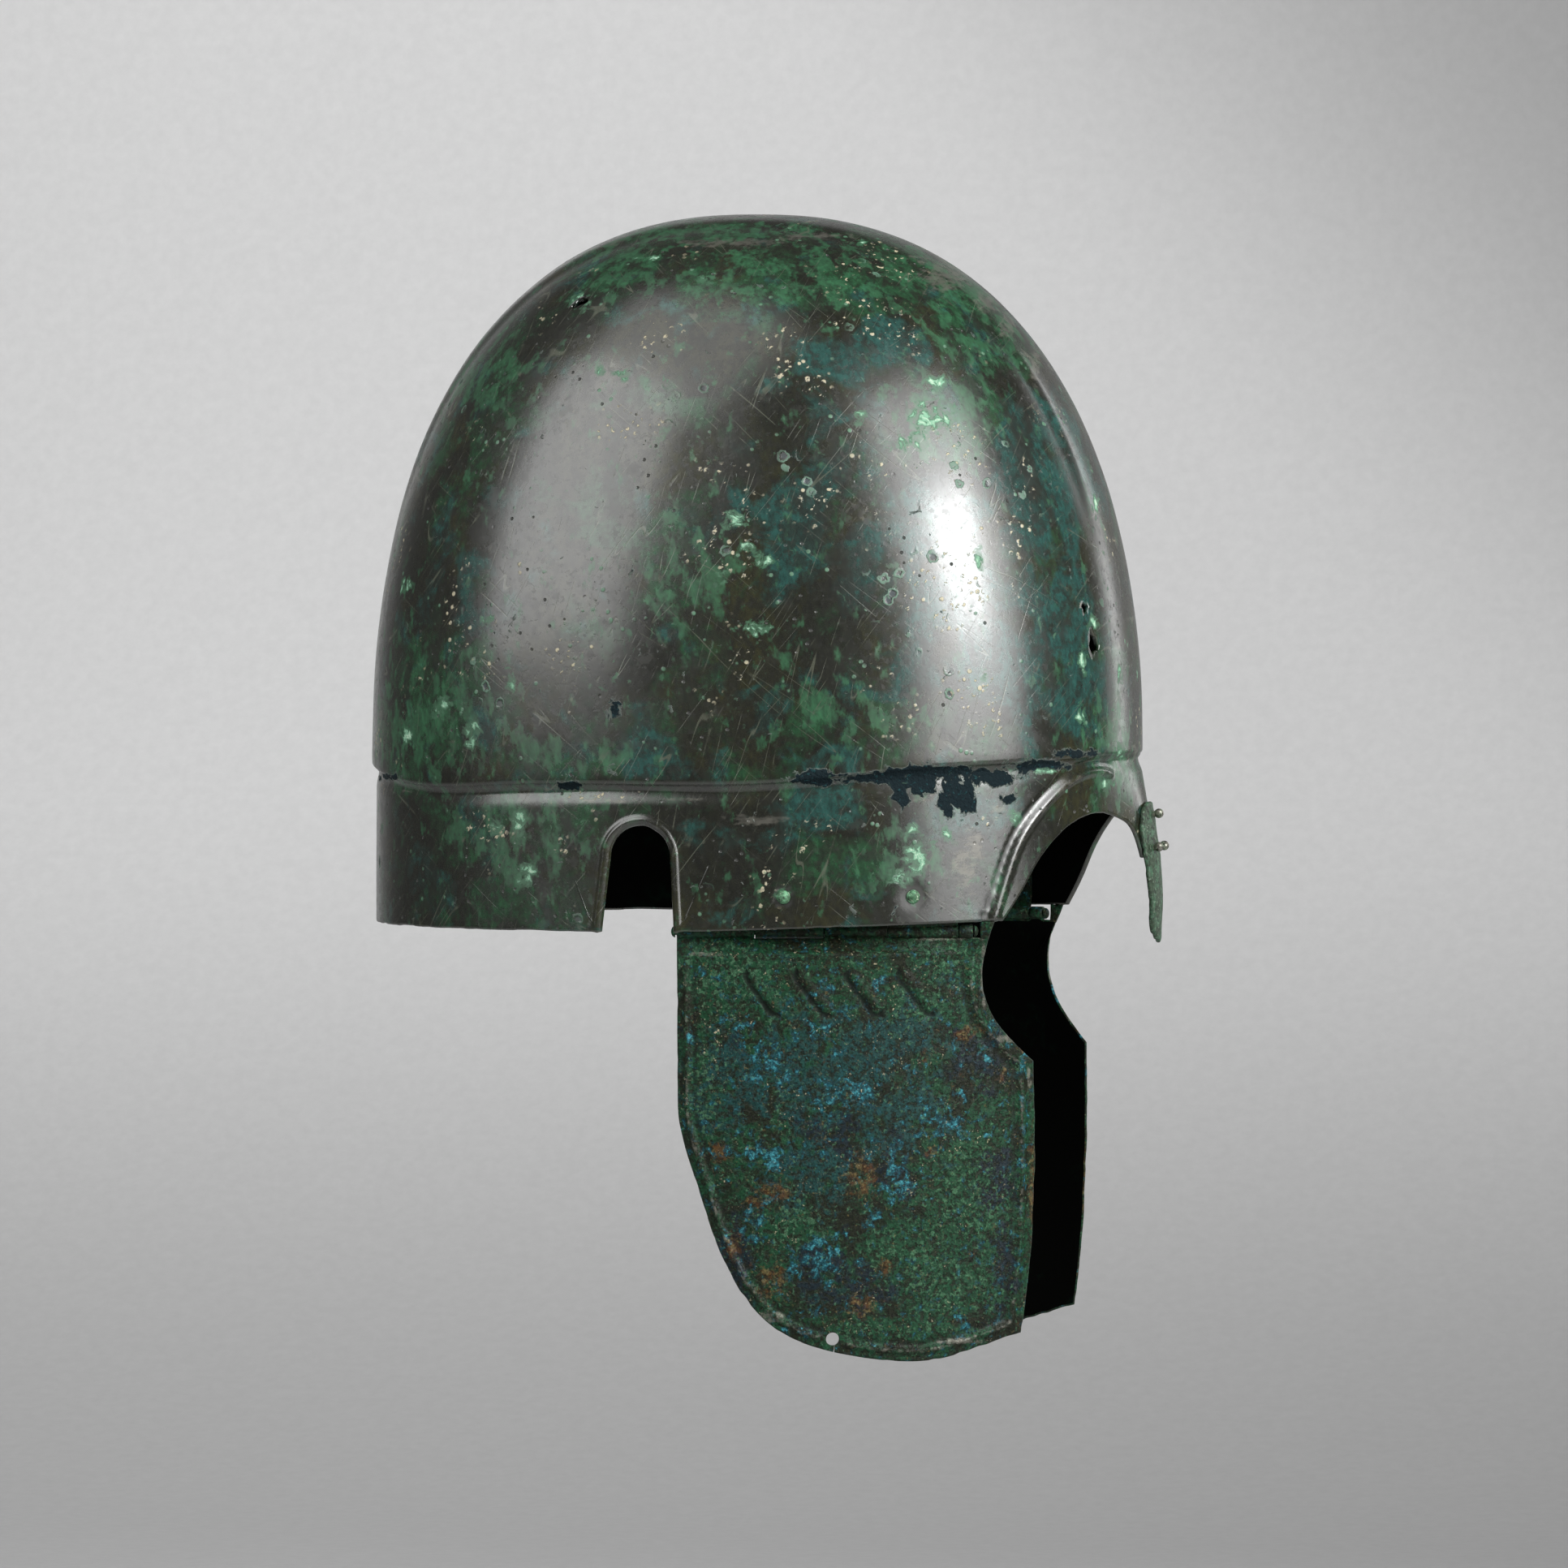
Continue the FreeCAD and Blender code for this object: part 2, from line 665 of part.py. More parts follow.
def strip(outer, inner):
    """A thin closed outline at one height, from its outer and its inner edge."""
    edges = []
    for points in (outer, inner):
        straight = len(points) == 2
        edges.append(Part.makeLine(*points) if straight else spline(points).toShape())
    ends = [Part.makeLine(outer[-1], inner[-1]), Part.makeLine(inner[0], outer[0])]
    return Part.Wire([edges[0], ends[0], edges[1], ends[1]])


def moved(points, travel):
    """The points moved along travel."""
    return [point + travel for point in points]


def leaf_strip(height):
    """The leaf's strip against the bowl's inside at a height."""
    count = TUBE_POINTS
    step = (size("leaf_front") - size("leaf_rear")) / (count - 1)
    outer = []
    for index in range(count):
        x = size("leaf_rear") + index * step
        outer.append(Vector(x, size("seat_gap") - plan_out(x, inner_half_length, inner_half_width), height))
    return strip(outer, moved(outer, Vector(0, size("leaf_wall"), 0)))


def pin_strip(rear, front, wall):
    """A straight strip along the hinge's axis, its thickness centred there."""
    half = Vector(0, wall / 2, 0)
    ends = [pin_point(rear), pin_point(front)]
    return strip(moved(ends, half * -1), moved(ends, half))


def leaf_plate():
    """The hinge leaf's sheet: flat against the bowl inside, then bent in to the pin."""
    low = leaf_strip(size("leaf_bend_height"))
    high = leaf_strip(size("leaf_top"))
    foot = pin_strip(size("leaf_rear"), size("leaf_front"), size("leaf_wall"))
    return Part.makeLoft([foot, low], True, True).fuse(Part.makeLoft([low, high], True, True))


leaf_sheet = sheet_feature("leaf_sheet", leaf_plate())
leaf_room = together("leaf_room", [
    rod("leaf_room_rear", SWING_RADIUS, "Sizes.pin_rear", "Sizes.leaf_rear"),
    rod("leaf_room_middle", SWING_RADIUS, "Sizes.centre_knuckle_rear - Sizes.swing_gap",
        "Sizes.centre_knuckle_front + Sizes.swing_gap"),
    rod("leaf_room_front", SWING_RADIUS, "Sizes.leaf_front", "Sizes.cheek_front"),
])
leaf_notched = cut("leaf_notched", leaf_sheet, leaf_room)
leaf_rolled = fuse("leaf_rolled", [
    leaf_notched,
    rod("leaf_knuckle_rear", KNUCKLE_RADIUS, "Sizes.leaf_rear",
        "Sizes.centre_knuckle_rear - Sizes.swing_gap"),
    rod("leaf_knuckle_front", KNUCKLE_RADIUS, "Sizes.centre_knuckle_front + Sizes.swing_gap",
        "Sizes.leaf_front"),
])
leaf_bore = rod("leaf_bore", BORE_RADIUS, "Sizes.pin_rear", "Sizes.pin_front")
leaf_bored = cut("leaf_bored", leaf_rolled, leaf_bore)
hinge_leaf_right = cut("hinge_leaf_right", leaf_bored, hinge_holes_right)
hinge_leaf_left = mirrored("hinge_leaf_left", hinge_leaf_right)
hinge_pin_right = pin("hinge_pin_right")
hinge_pin_left = mirrored("hinge_pin_left", hinge_pin_right)

# The cheek-piece: a curved plate that leans in below, with a flange bent in to the pin
cheek_rear_out = -pin_point(size("cheek_rear")).y + size("cheek_wall") / 2
cheek_arc = Part.Arc(
    Vector(size("cheek_rear"), -cheek_rear_out, 0),
    Vector(size("cheek_middle"), size("cheek_middle_draw") - size("bowl_half_width"), 0),
    Vector(size("cheek_front"), size("cheek_front_draw") - size("bowl_half_width"), 0),
).toShape().Curve
cheek_length = size("cheek_front") - size("cheek_rear")
cheek_fall = size("cheek_drop") + size("cheek_crease_height")


def cheek_plan(x, depth):
    """The right cheek-piece's sideways place at x in plan, depth below its outer face."""
    radius = cheek_arc.Radius - depth
    return cheek_arc.Center.y - math.sqrt(radius ** 2 - (x - cheek_arc.Center.x) ** 2)


def cheek_point(x, z, depth):
    """A point of the right cheek-piece at x and z, depth below its outer face."""
    lean = size("cheek_lean") * (size("cheek_crease_height") - z) / cheek_fall
    return Vector(x, cheek_plan(x, depth) + lean, z)


def cheek_plan_points(depth, margin):
    """Three points of the plan's arc at the crease, past both edges by the margin."""
    places = [size("cheek_rear") - margin, size("cheek_middle"), size("cheek_front") + margin]
    return [Vector(x, cheek_plan(x, depth), size("cheek_crease_height")) for x in places]


def arc_strip(depth, wall, margin):
    """The closed outline of the plate at the crease, between two arcs."""
    outer = cheek_plan_points(depth, margin)
    inner = cheek_plan_points(depth + wall, margin)
    edges = [Part.Arc(*outer).toShape(), Part.makeLine(outer[-1], inner[-1])]
    edges += [Part.Arc(*inner).toShape(), Part.makeLine(inner[0], outer[0])]
    return Part.Wire(edges)


cheek_margin = CHEEK_MARGIN_SHARE * size("overrun")
cheek_travel = Vector(0, size("cheek_lean"), -cheek_fall) * (1 + cheek_margin / cheek_fall)


def cheek_flange():
    """The flange from the crease up to the pin."""
    foot = arc_strip(0, size("cheek_wall"), cheek_margin)
    rear = size("cheek_rear") - cheek_margin
    head = pin_strip(rear, size("cheek_front") + cheek_margin, size("cheek_wall"))
    return Part.makeLoft([foot, head], True, True)


def cheek_core():
    """The space inside the plate, which trims what the ribs leave there."""
    arc_points = cheek_plan_points(size("cheek_wall") + size("seat_gap"), cheek_margin)
    inside_rear = Vector(arc_points[0].x, 0, arc_points[0].z)
    inside_front = Vector(arc_points[-1].x, 0, arc_points[0].z)
    edges = [
        Part.Arc(*arc_points).toShape(),
        Part.makeLine(arc_points[-1], inside_front),
        Part.makeLine(inside_front, inside_rear),
        Part.makeLine(inside_rear, arc_points[0]),
    ]
    return Part.Face(Part.Wire(edges)).extrude(cheek_travel)


def edge_points(shares):
    """Points of the cheek-piece's edge in side view, from shares of its length and drop."""
    return [Vector(size("cheek_rear") + x_share * cheek_length, 0, -z_share * size("cheek_drop"))
            for x_share, z_share in shares]


def cheek_region():
    """The cheek-piece's outline in side view, drawn through its right side."""
    lower = edge_points(CHEEK_EDGE_SHARES)
    front = edge_points(CHEEK_FRONT_SHARES)
    mouth = edge_points(CHEEK_MOUTH_SHARES)
    top_rear = Vector(size("cheek_rear"), 0, size("hinge_height"))
    top_front = Vector(mouth[-1].x, 0, size("hinge_height"))
    mouth[-1] = top_front
    lower_curve = Part.BSplineCurve()
    lower_curve.interpolate(Points=lower, InitialTangent=Vector(0, 0, -1),
                            FinalTangent=Vector(1, 0, EDGE_END_SLOPE))
    edges = [
        Part.makeLine(top_rear, lower[0]),
        lower_curve.toShape(),
        Part.Arc(*front).toShape(),
        spline(mouth).toShape(),
        Part.makeLine(top_front, top_rear),
    ]
    return prism(edges, Vector(0, -side_reach, 0), Vector(0, side_reach, 0))


def inset_path(shares, inset, spans):
    """Points along the edge curve, moved in by inset and laid on the plate's outer face."""
    curve = spline(edge_points(shares))
    depth = size("cheek_bead_radius") - size("cheek_bead_stand")
    points = []
    for step in range(spans + 1):
        place = curve.FirstParameter + (curve.LastParameter - curve.FirstParameter) * step / spans
        along = curve.tangent(place)[0]
        inward = along.cross(Vector(0, 1, 0)).normalize()
        point = curve.value(place) + inward * inset
        points.append(cheek_point(point.x, point.z, depth))
    return points


def cheek_beads():
    """The bead inside the edge: down the back, round below, up the front and along the mouth."""
    inset = size("cheek_bead_inset")
    radius = size("cheek_bead_radius")
    depth = radius - size("cheek_bead_stand")
    below = inset_path(CHEEK_EDGE_SHARES, inset, TUBE_POINTS + 2)
    front = inset_path(CHEEK_FRONT_SHARES, inset, FRONT_SPANS)
    mouth = inset_path(CHEEK_MOUTH_SHARES[:-1], inset, TUBE_POINTS)
    back_top = cheek_point(size("cheek_rear") + inset, size("cheek_crease_height") - inset, depth)
    back_foot = below[0]
    back = Part.makeCylinder(radius, (back_foot - back_top).Length, back_top, back_foot - back_top)
    return back.fuse([Part.makeSphere(radius, back_top), tube(below, radius), tube(front, radius),
                      tube(mouth, radius)])


def tongue(index):
    """One slanting stroke raised below the crease, a bar with ball ends."""
    depth = size("tongue_radius") - size("tongue_stand")
    x = size("tongue_rear") + index * size("tongue_pitch")
    start = cheek_point(x, size("tongue_top"), depth)
    end = cheek_point(x + size("tongue_reach"), size("tongue_top") - size("tongue_fall"), depth)
    bar = solid_of("Part::Cylinder", f"tongue_{index}_bar", [("Radius", "Sizes.tongue_radius")])
    bar.Height = (end - start).Length
    bar.Placement = Placement(start, Rotation(Vector(0, 0, 1), end - start))
    forms = [bar]
    for name, point in (("head", start), ("foot", end)):
        ball = solid_of("Part::Sphere", f"tongue_{index}_{name}", [("Radius", "Sizes.tongue_radius")])
        ball.Placement = Placement(point, Rotation())
        forms.append(ball)
    return forms


def crease_line():
    """The raised line along the crease."""
    depth = size("crease_line_radius") - size("crease_line_stand")
    rear = size("cheek_rear") + 2 * size("cheek_bead_inset")
    front = size("leaf_front")
    places = [rear, (rear + front) / 2, front]
    points = [cheek_point(x, size("cheek_crease_height"), depth) for x in places]
    path = Part.Wire([Part.Arc(*points).toShape()])
    along = (points[1] - points[0]).normalize()
    section = Part.Wire([Part.Circle(points[0], along, size("crease_line_radius")).toShape()])
    line = path.makePipeShell([section], True, True)
    return line.fuse([Part.makeSphere(size("crease_line_radius"), points[0]),
                      Part.makeSphere(size("crease_line_radius"), points[-1])])


cheek_knuckles = [
    rod("cheek_knuckle_rear", KNUCKLE_RADIUS, "Sizes.cheek_rear", "Sizes.leaf_rear - Sizes.swing_gap"),
    rod("cheek_knuckle_middle", KNUCKLE_RADIUS, "Sizes.centre_knuckle_rear", "Sizes.centre_knuckle_front"),
    rod("cheek_knuckle_front", KNUCKLE_RADIUS, "Sizes.leaf_front + Sizes.swing_gap",
        "Sizes.end_knuckle_front"),
]
# The room that the leaf's knuckles need in the flange
cheek_room = together("cheek_room", [
    rod("cheek_room_rear", SWING_RADIUS, "Sizes.leaf_rear - Sizes.swing_gap", "Sizes.centre_knuckle_rear"),
    rod("cheek_room_middle", SWING_RADIUS, "Sizes.centre_knuckle_front",
        "Sizes.leaf_front + Sizes.swing_gap"),
    rod("cheek_room_front", SWING_RADIUS, "Sizes.end_knuckle_front", "Sizes.cheek_front"),
])
cheek_bore = rod("cheek_bore", BORE_RADIUS, "Sizes.pin_rear", "Sizes.cheek_front")

tie_place = cheek_point(size("tie_hole_place"), size("tie_hole_height"), 0)
tie_along = (cheek_point(tie_place.x + size("tie_hole_radius"), tie_place.z, 0)
             - cheek_point(tie_place.x - size("tie_hole_radius"), tie_place.z, 0)).normalize()
tie_axis = cheek_travel.cross(tie_along).normalize()
if tie_axis.y > 0:
    tie_axis = tie_axis * -1


cheek_plate = sheet_feature("cheek_plate", Part.Face(arc_strip(0, size("cheek_wall"), cheek_margin))
                            .extrude(cheek_travel))
cheek_flange_form = sheet_feature("cheek_flange_form", cheek_flange())
cheek_blank = fuse("cheek_blank", [cheek_plate, cheek_flange_form])
cheek_outline = sheet_feature("cheek_outline", cheek_region())
cheek_sheet = common("cheek_sheet", [cheek_blank, cheek_outline])
bead_form = sheet_feature("bead_form", cheek_beads())
tie_land = drill("tie_land", "Sizes.tie_hole_radius + Sizes.tie_hole_land", tie_place, tie_axis)
bead_parted = cut("bead_parted", bead_form, tie_land)
crease_form = sheet_feature("crease_form", crease_line())
tongue_forms = [form for index in range(TONGUE_COUNT) for form in tongue(index)]
cheek_worked = fuse("cheek_worked", [cheek_sheet, bead_parted, crease_form] + tongue_forms)
core_form = sheet_feature("core_form", cheek_core())
cheek_trimmed = cut("cheek_trimmed", cheek_worked, core_form)
cheek_notched = cut("cheek_notched", cheek_trimmed, cheek_room)
cheek_rolled = fuse("cheek_rolled", [cheek_notched] + cheek_knuckles)
cheek_bored = cut("cheek_bored", cheek_rolled, cheek_bore)
tie_hole = drill("tie_hole", "Sizes.tie_hole_radius", tie_place, tie_axis)
cheek_piece_right = cut("cheek_piece_right", cheek_bored, tie_hole)
cheek_piece_left = mirrored("cheek_piece_left", cheek_piece_right)

PIECES = [skull_bowl, nasal_guard] + nasal_rivets
PIECES += [hinge_leaf_right, hinge_leaf_left, hinge_pin_right, hinge_pin_left]
PIECES += hinge_rivets_right + hinge_rivets_left
PIECES += [cheek_piece_right, cheek_piece_left]

doc.recompute()
for thing in doc.Objects:
    faults = [state for state in thing.State if state in ("Invalid", "Error")]
    if faults:
        raise RuntimeError(f"{thing.Label} failed: {faults}")

os.makedirs("parts", exist_ok=True)
for piece in PIECES:
    shape = piece.Shape
    if shape.isNull() or not shape.isValid():
        raise RuntimeError(f"{piece.Label} has no valid shape")
    if len(shape.Solids) != 1:
        raise RuntimeError(f"{piece.Label} has {len(shape.Solids)} solids")
    shape.exportStep(f"parts/{piece.Label}.step")
    centre = shape.Solids[0].CenterOfMass
    print(f"{piece.Label}: {shape.Volume:.1f} cubic mm, centre {centre.x:.1f} {centre.y:.1f} {centre.z:.1f}")
print("hinge axis", pin_point(size("pin_rear")), pin_line)
print("tie hole", tie_place, tie_axis)
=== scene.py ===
# %% [markdown]
# This lesson dresses a bronze helmet of the Chalcidian kind. The real one was hammered from a
# single sheet, then a nasal guard was riveted over the nose and two cheek-pieces were hung on
# long hinge pins. The frame already holds every piece at its real size and place, so each new
# surface below is worked out in metres in that same frame: +X is the face, +Y the wearer's
# left, +Z up, and the origin is the middle of the head opening.

# %% Load the frame
import json
import math
import bpy
import numpy as np
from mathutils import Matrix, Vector


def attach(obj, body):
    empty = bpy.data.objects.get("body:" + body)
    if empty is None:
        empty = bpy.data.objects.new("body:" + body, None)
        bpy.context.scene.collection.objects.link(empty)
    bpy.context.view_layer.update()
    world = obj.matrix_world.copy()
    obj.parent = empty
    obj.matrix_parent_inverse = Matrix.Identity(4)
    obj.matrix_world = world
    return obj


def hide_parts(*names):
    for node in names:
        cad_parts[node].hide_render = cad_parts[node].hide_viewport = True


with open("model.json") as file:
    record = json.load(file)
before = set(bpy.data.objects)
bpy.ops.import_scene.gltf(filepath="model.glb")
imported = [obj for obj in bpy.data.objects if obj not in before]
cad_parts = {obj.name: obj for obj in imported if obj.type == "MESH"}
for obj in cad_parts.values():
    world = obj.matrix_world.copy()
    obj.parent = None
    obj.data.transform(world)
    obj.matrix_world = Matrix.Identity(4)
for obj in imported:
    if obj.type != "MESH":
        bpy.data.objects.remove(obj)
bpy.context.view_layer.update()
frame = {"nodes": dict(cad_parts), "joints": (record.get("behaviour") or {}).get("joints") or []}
nodes = frame["nodes"]
print("pieces in the frame:", len(nodes))

# %% [markdown]
# Every sheet here follows a few driving sizes. They are the measurements a bronze-smith would
# take with callipers: the oval of the bowl, the thickness of the sheet, the height of the step
# that runs round it, and the openings for ears and eyes.

# %% Sizes of the bowl
MM = 0.001
WALL = 1.4 * MM
HALF_LENGTH = 116 * MM
HALF_WIDTH = 95 * MM
FOOT_HEIGHT = 47 * MM
DOME_RISE = 165.7 * MM
STEP_OVERHANG = 1.3 * MM
STEP_BACK = 47.9 * MM
STEP_SIDE = 43.2 * MM
STEP_FRONT = 51.3 * MM
BRIDGE_FLARE = 7 * MM
BRIDGE_HALF_WIDTH = 17 * MM
PLAN_POWER = 2.2
DOME_POWER = 2.36

BAND_SHARES = [(-0.16, 0.88), (0.00, 0.95), (0.13, 1.00), (0.26, 0.96), (0.40, 0.87),
               (0.55, 0.69), (0.70, 0.53), (0.82, 0.36), (0.93, 0.20), (1.05, 0.06)]
STEP_SHARES = [(-1.15, 1.2, 0.0), (-1.00, 1.0, 0.0), (-0.87, 0.15, 0.0), (-0.52, -0.06, 0.0),
               (-0.09, 0.0, 0.0), (0.21, 0.0, 0.11), (0.55, 0.0, 0.60), (0.76, 0.0, 0.76),
               (1.00, 0.0, 1.0), (1.15, 0.0, 1.1)]

# %% [markdown]
# The photo was taken from the wearer's right, a little ahead and a little above, with a long
# lens three metres off. The same view is set up at the end as the camera. It is needed here
# already, because patches of crust and verdigris are placed where the photo shows them.

# %% The photo's view
AIM = np.array([7.95 * MM, 1.4 * MM, 41.3 * MM])
CAMERA_DISTANCE = 3.0
CAMERA_AZIMUTH = 10
CAMERA_ELEVATION = 1.4
LENS = 228.6
SENSOR = 36
PHOTO_SIZE = 1932


def bearing(azimuth, elevation):
    """The direction from the helmet to something seen at that azimuth and elevation, in degrees."""
    turn, rise = math.radians(azimuth), math.radians(elevation)
    return np.array([math.sin(turn) * math.cos(rise), -math.cos(turn) * math.cos(rise), math.sin(rise)])


def in_photo(spots):
    """Where places appear in the photo, in its pixels: lens times offset over depth."""
    back = bearing(CAMERA_AZIMUTH, CAMERA_ELEVATION)
    right = np.cross([0, 0, 1], back)
    right /= np.linalg.norm(right)
    offset = spots - (AIM + CAMERA_DISTANCE * back)
    scale = PHOTO_SIZE * LENS / SENSOR / -(offset @ back)
    across, down = scale * (offset @ right), -scale * (offset @ np.cross(back, right))
    return PHOTO_SIZE / 2 + np.stack([across, down], axis=-1)


# %% [markdown]
# A hammered surface is never quite smooth. The helper below gives soft random hills from a
# lattice of fixed random values, so it is the same on every run. Adding copies of it at smaller
# and smaller sizes gives crust, and one large copy alone gives the slow waves of a hammer.

# %% Hills from a lattice
HASH_ROW = np.array([374761393, 668265263, 1274126177], dtype=np.int64)
HASH_FACTOR = 1103515245
SEED_SHIFT = 31.7


def hills(points, size, seed=0):
    """Smooth noise from -1 to 1: values on a lattice of that size, eased between its corners."""
    scaled = np.asarray(points) / size + SEED_SHIFT * (seed + 1)
    low = np.floor(scaled).astype(np.int64)
    part = scaled - low
    ease = part * part * (3 - 2 * part)
    total = np.zeros(scaled.shape[:-1])
    for corner in np.ndindex(2, 2, 2):
        mixed = ((low + corner) * HASH_ROW).sum(axis=-1)
        mixed = (mixed ^ (mixed >> 13)) * HASH_FACTOR
        value = ((mixed >> 8) & 0xFFFF) / 32767.5 - 1
        share = np.where(np.array(corner) == 1, ease, 1 - ease).prod(axis=-1)
        total += value * share
    return total


def crust(points, size, octaves, seed=0):
    """Hills added up: each octave is half the size and half the height of the one before."""
    return sum(hills(points, size / 2**step, seed + step) / 2**step for step in range(octaves))


def on_sheet(flat):
    """Places of a flat pattern with a zero as their third number, where hills can be read."""
    return np.pad(flat, ((0, 0), (0, 1)))


def soft_step(value, start, end):
    """Zero before start, one after end, with an even S curve between."""
    part = np.clip((value - start) / (end - start), 0, 1)
    return part * part * (3 - 2 * part)


# %% [markdown]
# Outlines come from a few chosen points. A cubic between each two of them, with slopes that
# make the bend continuous, is how a bent spline of wood runs through its nails.

# %% A curve through points
def through(points, count, start=None, end=None):
    """Even places on a cubic spline through the points, with free ends or with given end slopes."""
    points = np.array(points, dtype=float)
    last = len(points) - 1
    places = np.concatenate([[0], np.cumsum(np.linalg.norm(np.diff(points, axis=0), axis=1))])
    gaps = np.diff(places)
    rises = np.diff(points, axis=0) / gaps[:, None]
    matrix = np.zeros((last + 1, last + 1))
    matrix[0, :2] = 2, 1
    matrix[last, last - 1:] = 1, 2
    sums = np.zeros_like(points)
    sums[0], sums[last] = 3 * rises[0], 3 * rises[-1]
    for row in range(1, last):
        matrix[row, row - 1:row + 2] = gaps[row], 2 * (gaps[row - 1] + gaps[row]), gaps[row - 1]
        sums[row] = 3 * (gaps[row] * rises[row - 1] + gaps[row - 1] * rises[row])
    for row, slope in ((0, start), (last, end)):
        if slope is not None:
            matrix[row] = np.eye(last + 1)[row]
            sums[row] = slope
    slopes = np.linalg.solve(matrix, sums)
    wanted = np.linspace(0, places[-1], count)
    span = np.clip(np.searchsorted(places, wanted, side="right") - 1, 0, last - 1)
    gap = gaps[span][:, None]
    part = (wanted - places[span])[:, None] / gap
    return ((1 + 2 * part) * (1 - part) ** 2 * points[span] + part * (1 - part) ** 2 * gap * slopes[span]
            + part**2 * (3 - 2 * part) * points[span + 1] + part**2 * (part - 1) * gap * slopes[span + 1])


def distance_to(path, spots):
    """How far each spot is from the nearest of a path's straight runs, and on which side it lies."""
    starts, runs = path[:-1], np.diff(path, axis=0)
    lengths = (runs**2).sum(axis=1)
    nearest = np.full(len(spots), np.inf)
    side = np.zeros(len(spots))
    for start, run, length in zip(starts, runs, lengths):
        offset = spots - start
        along = np.clip(offset @ run / length, 0, 1)
        away = np.linalg.norm(offset - along[:, None] * run, axis=1)
        closer = away < nearest
        nearest[closer] = away[closer]
        side[closer] = np.sign(run[0] * offset[closer, 1] - run[1] * offset[closer, 0])
    return nearest, side


# %% [markdown]
# The meshes are stacks of rings. Each ring is one loop of points round the form, and each next
# ring has as many points, or half as many where the surface needs less detail, or a single
# point to close a pole.

# %% Rings into a mesh
def ring_faces(low, high, low_count, high_count):
    """Faces between two closed rings: four-sided, five-sided where the count halves, or a fan."""
    near = np.arange(low_count)
    if high_count == 1:
        return [tuple(face) for face in np.stack([low + near, low + (near + 1) % low_count,
                                                  np.full(low_count, high)], axis=1).tolist()]
    if low_count == high_count:
        step = (near + 1) % low_count
        return [tuple(face) for face in np.stack([low + near, low + step, high + step, high + near],
                                                 axis=1).tolist()]
    if low_count == 2 * high_count:
        far = np.arange(high_count)
        step = (far + 1) % high_count
        return [tuple(face) for face in np.stack([low + 2 * far, low + 2 * far + 1,
                                                  low + (2 * far + 2) % low_count, high + step, high + far],
                                                 axis=1).tolist()]
    return [tuple(reversed(face)) for face in ring_faces(high, low, high_count, low_count)]


def stack_mesh(name, rings, closed=False):
    """A mesh from rings in order; closed joins the last ring to the first."""
    starts = np.cumsum([0] + [len(ring) for ring in rings])
    pairs = list(zip(range(len(rings) - 1), range(1, len(rings))))
    if closed:
        pairs.append((len(rings) - 1, 0))
    faces = []
    for low, high in pairs:
        faces += ring_faces(int(starts[low]), int(starts[high]), len(rings[low]), len(rings[high]))
    mesh = bpy.data.meshes.new(name)
    mesh.from_pydata(np.concatenate(rings), [], faces)
    mesh.update()
    mesh.polygons.foreach_set("use_smooth", np.ones(len(mesh.polygons), dtype=bool))
    return mesh


def paint(mesh, name, values):
    """A number per point that the finishes read, such as how much bare metal shows there."""
    layer = mesh.attributes.new(name, "FLOAT", "POINT")
    layer.data.foreach_set("value", np.asarray(values, dtype=np.float32))


def spots_of(mesh):
    """All the points of a mesh."""
    spots = np.empty(len(mesh.vertices) * 3, dtype=np.float32)
    mesh.vertices.foreach_get("co", spots)
    return spots.reshape(-1, 3).astype(float)


def enclosed(mesh):
    """The volume inside a closed mesh, positive when its faces point outwards."""
    mesh.calc_loop_triangles()
    corners = np.empty(len(mesh.loop_triangles) * 3, dtype=np.int32)
    mesh.loop_triangles.foreach_get("vertices", corners)
    a, b, c = spots_of(mesh)[corners.reshape(-1, 3)].transpose(1, 0, 2)
    return (a * np.cross(b, c)).sum() / 6


def outward(mesh):
    """The same closed mesh with its faces turned outwards."""
    if enclosed(mesh) < 0:
        mesh.flip_normals()
    return mesh


def pierced(mesh, drills):
    """The mesh with closed drills taken away from it, by an exact boolean."""
    sheet, tools = bpy.data.objects.new("sheet", outward(mesh)), bpy.data.objects.new("tools", drills)
    for obj in (sheet, tools):
        bpy.context.scene.collection.objects.link(obj)
    cut = sheet.modifiers.new("cut", "BOOLEAN")
    cut.operation, cut.solver, cut.object = "DIFFERENCE", "EXACT", tools
    bpy.context.view_layer.update()
    result = bpy.data.meshes.new_from_object(sheet.evaluated_get(bpy.context.evaluated_depsgraph_get()))
    for obj in (sheet, tools):
        bpy.data.objects.remove(obj)
    result.polygons.foreach_set("use_smooth", np.ones(len(result.polygons), dtype=bool))
    return result


def place(name, mesh, body, slot, *replaced):
    """Puts a finished mesh in the scene: it rides on a body and stands for nodes of the frame."""
    mesh.name = name
    piece = bpy.data.objects.new(name, outward(mesh))
    bpy.context.scene.collection.objects.link(piece)
    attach(piece, body)
    if replaced:
        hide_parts(*replaced)
    print(f"{name}: {len(mesh.loop_triangles)} triangles, {enclosed(mesh) * 1e9:.0f} cubic mm")
    return piece


# %% [markdown]
# Patches are kept as short lists: where each one lies across and down the photo in its pixels,
# and how far it reaches both ways. A patch is only a soft blot here. The finishes break its edge
# up with noise. The photo doesn't show the wearer's left side, so that side takes the same
# blots, bent out of shape by slow hills.

# %% Blots
FAR_SIDE_BEND = 16 * MM
FAR_SIDE_HILL = 45 * MM


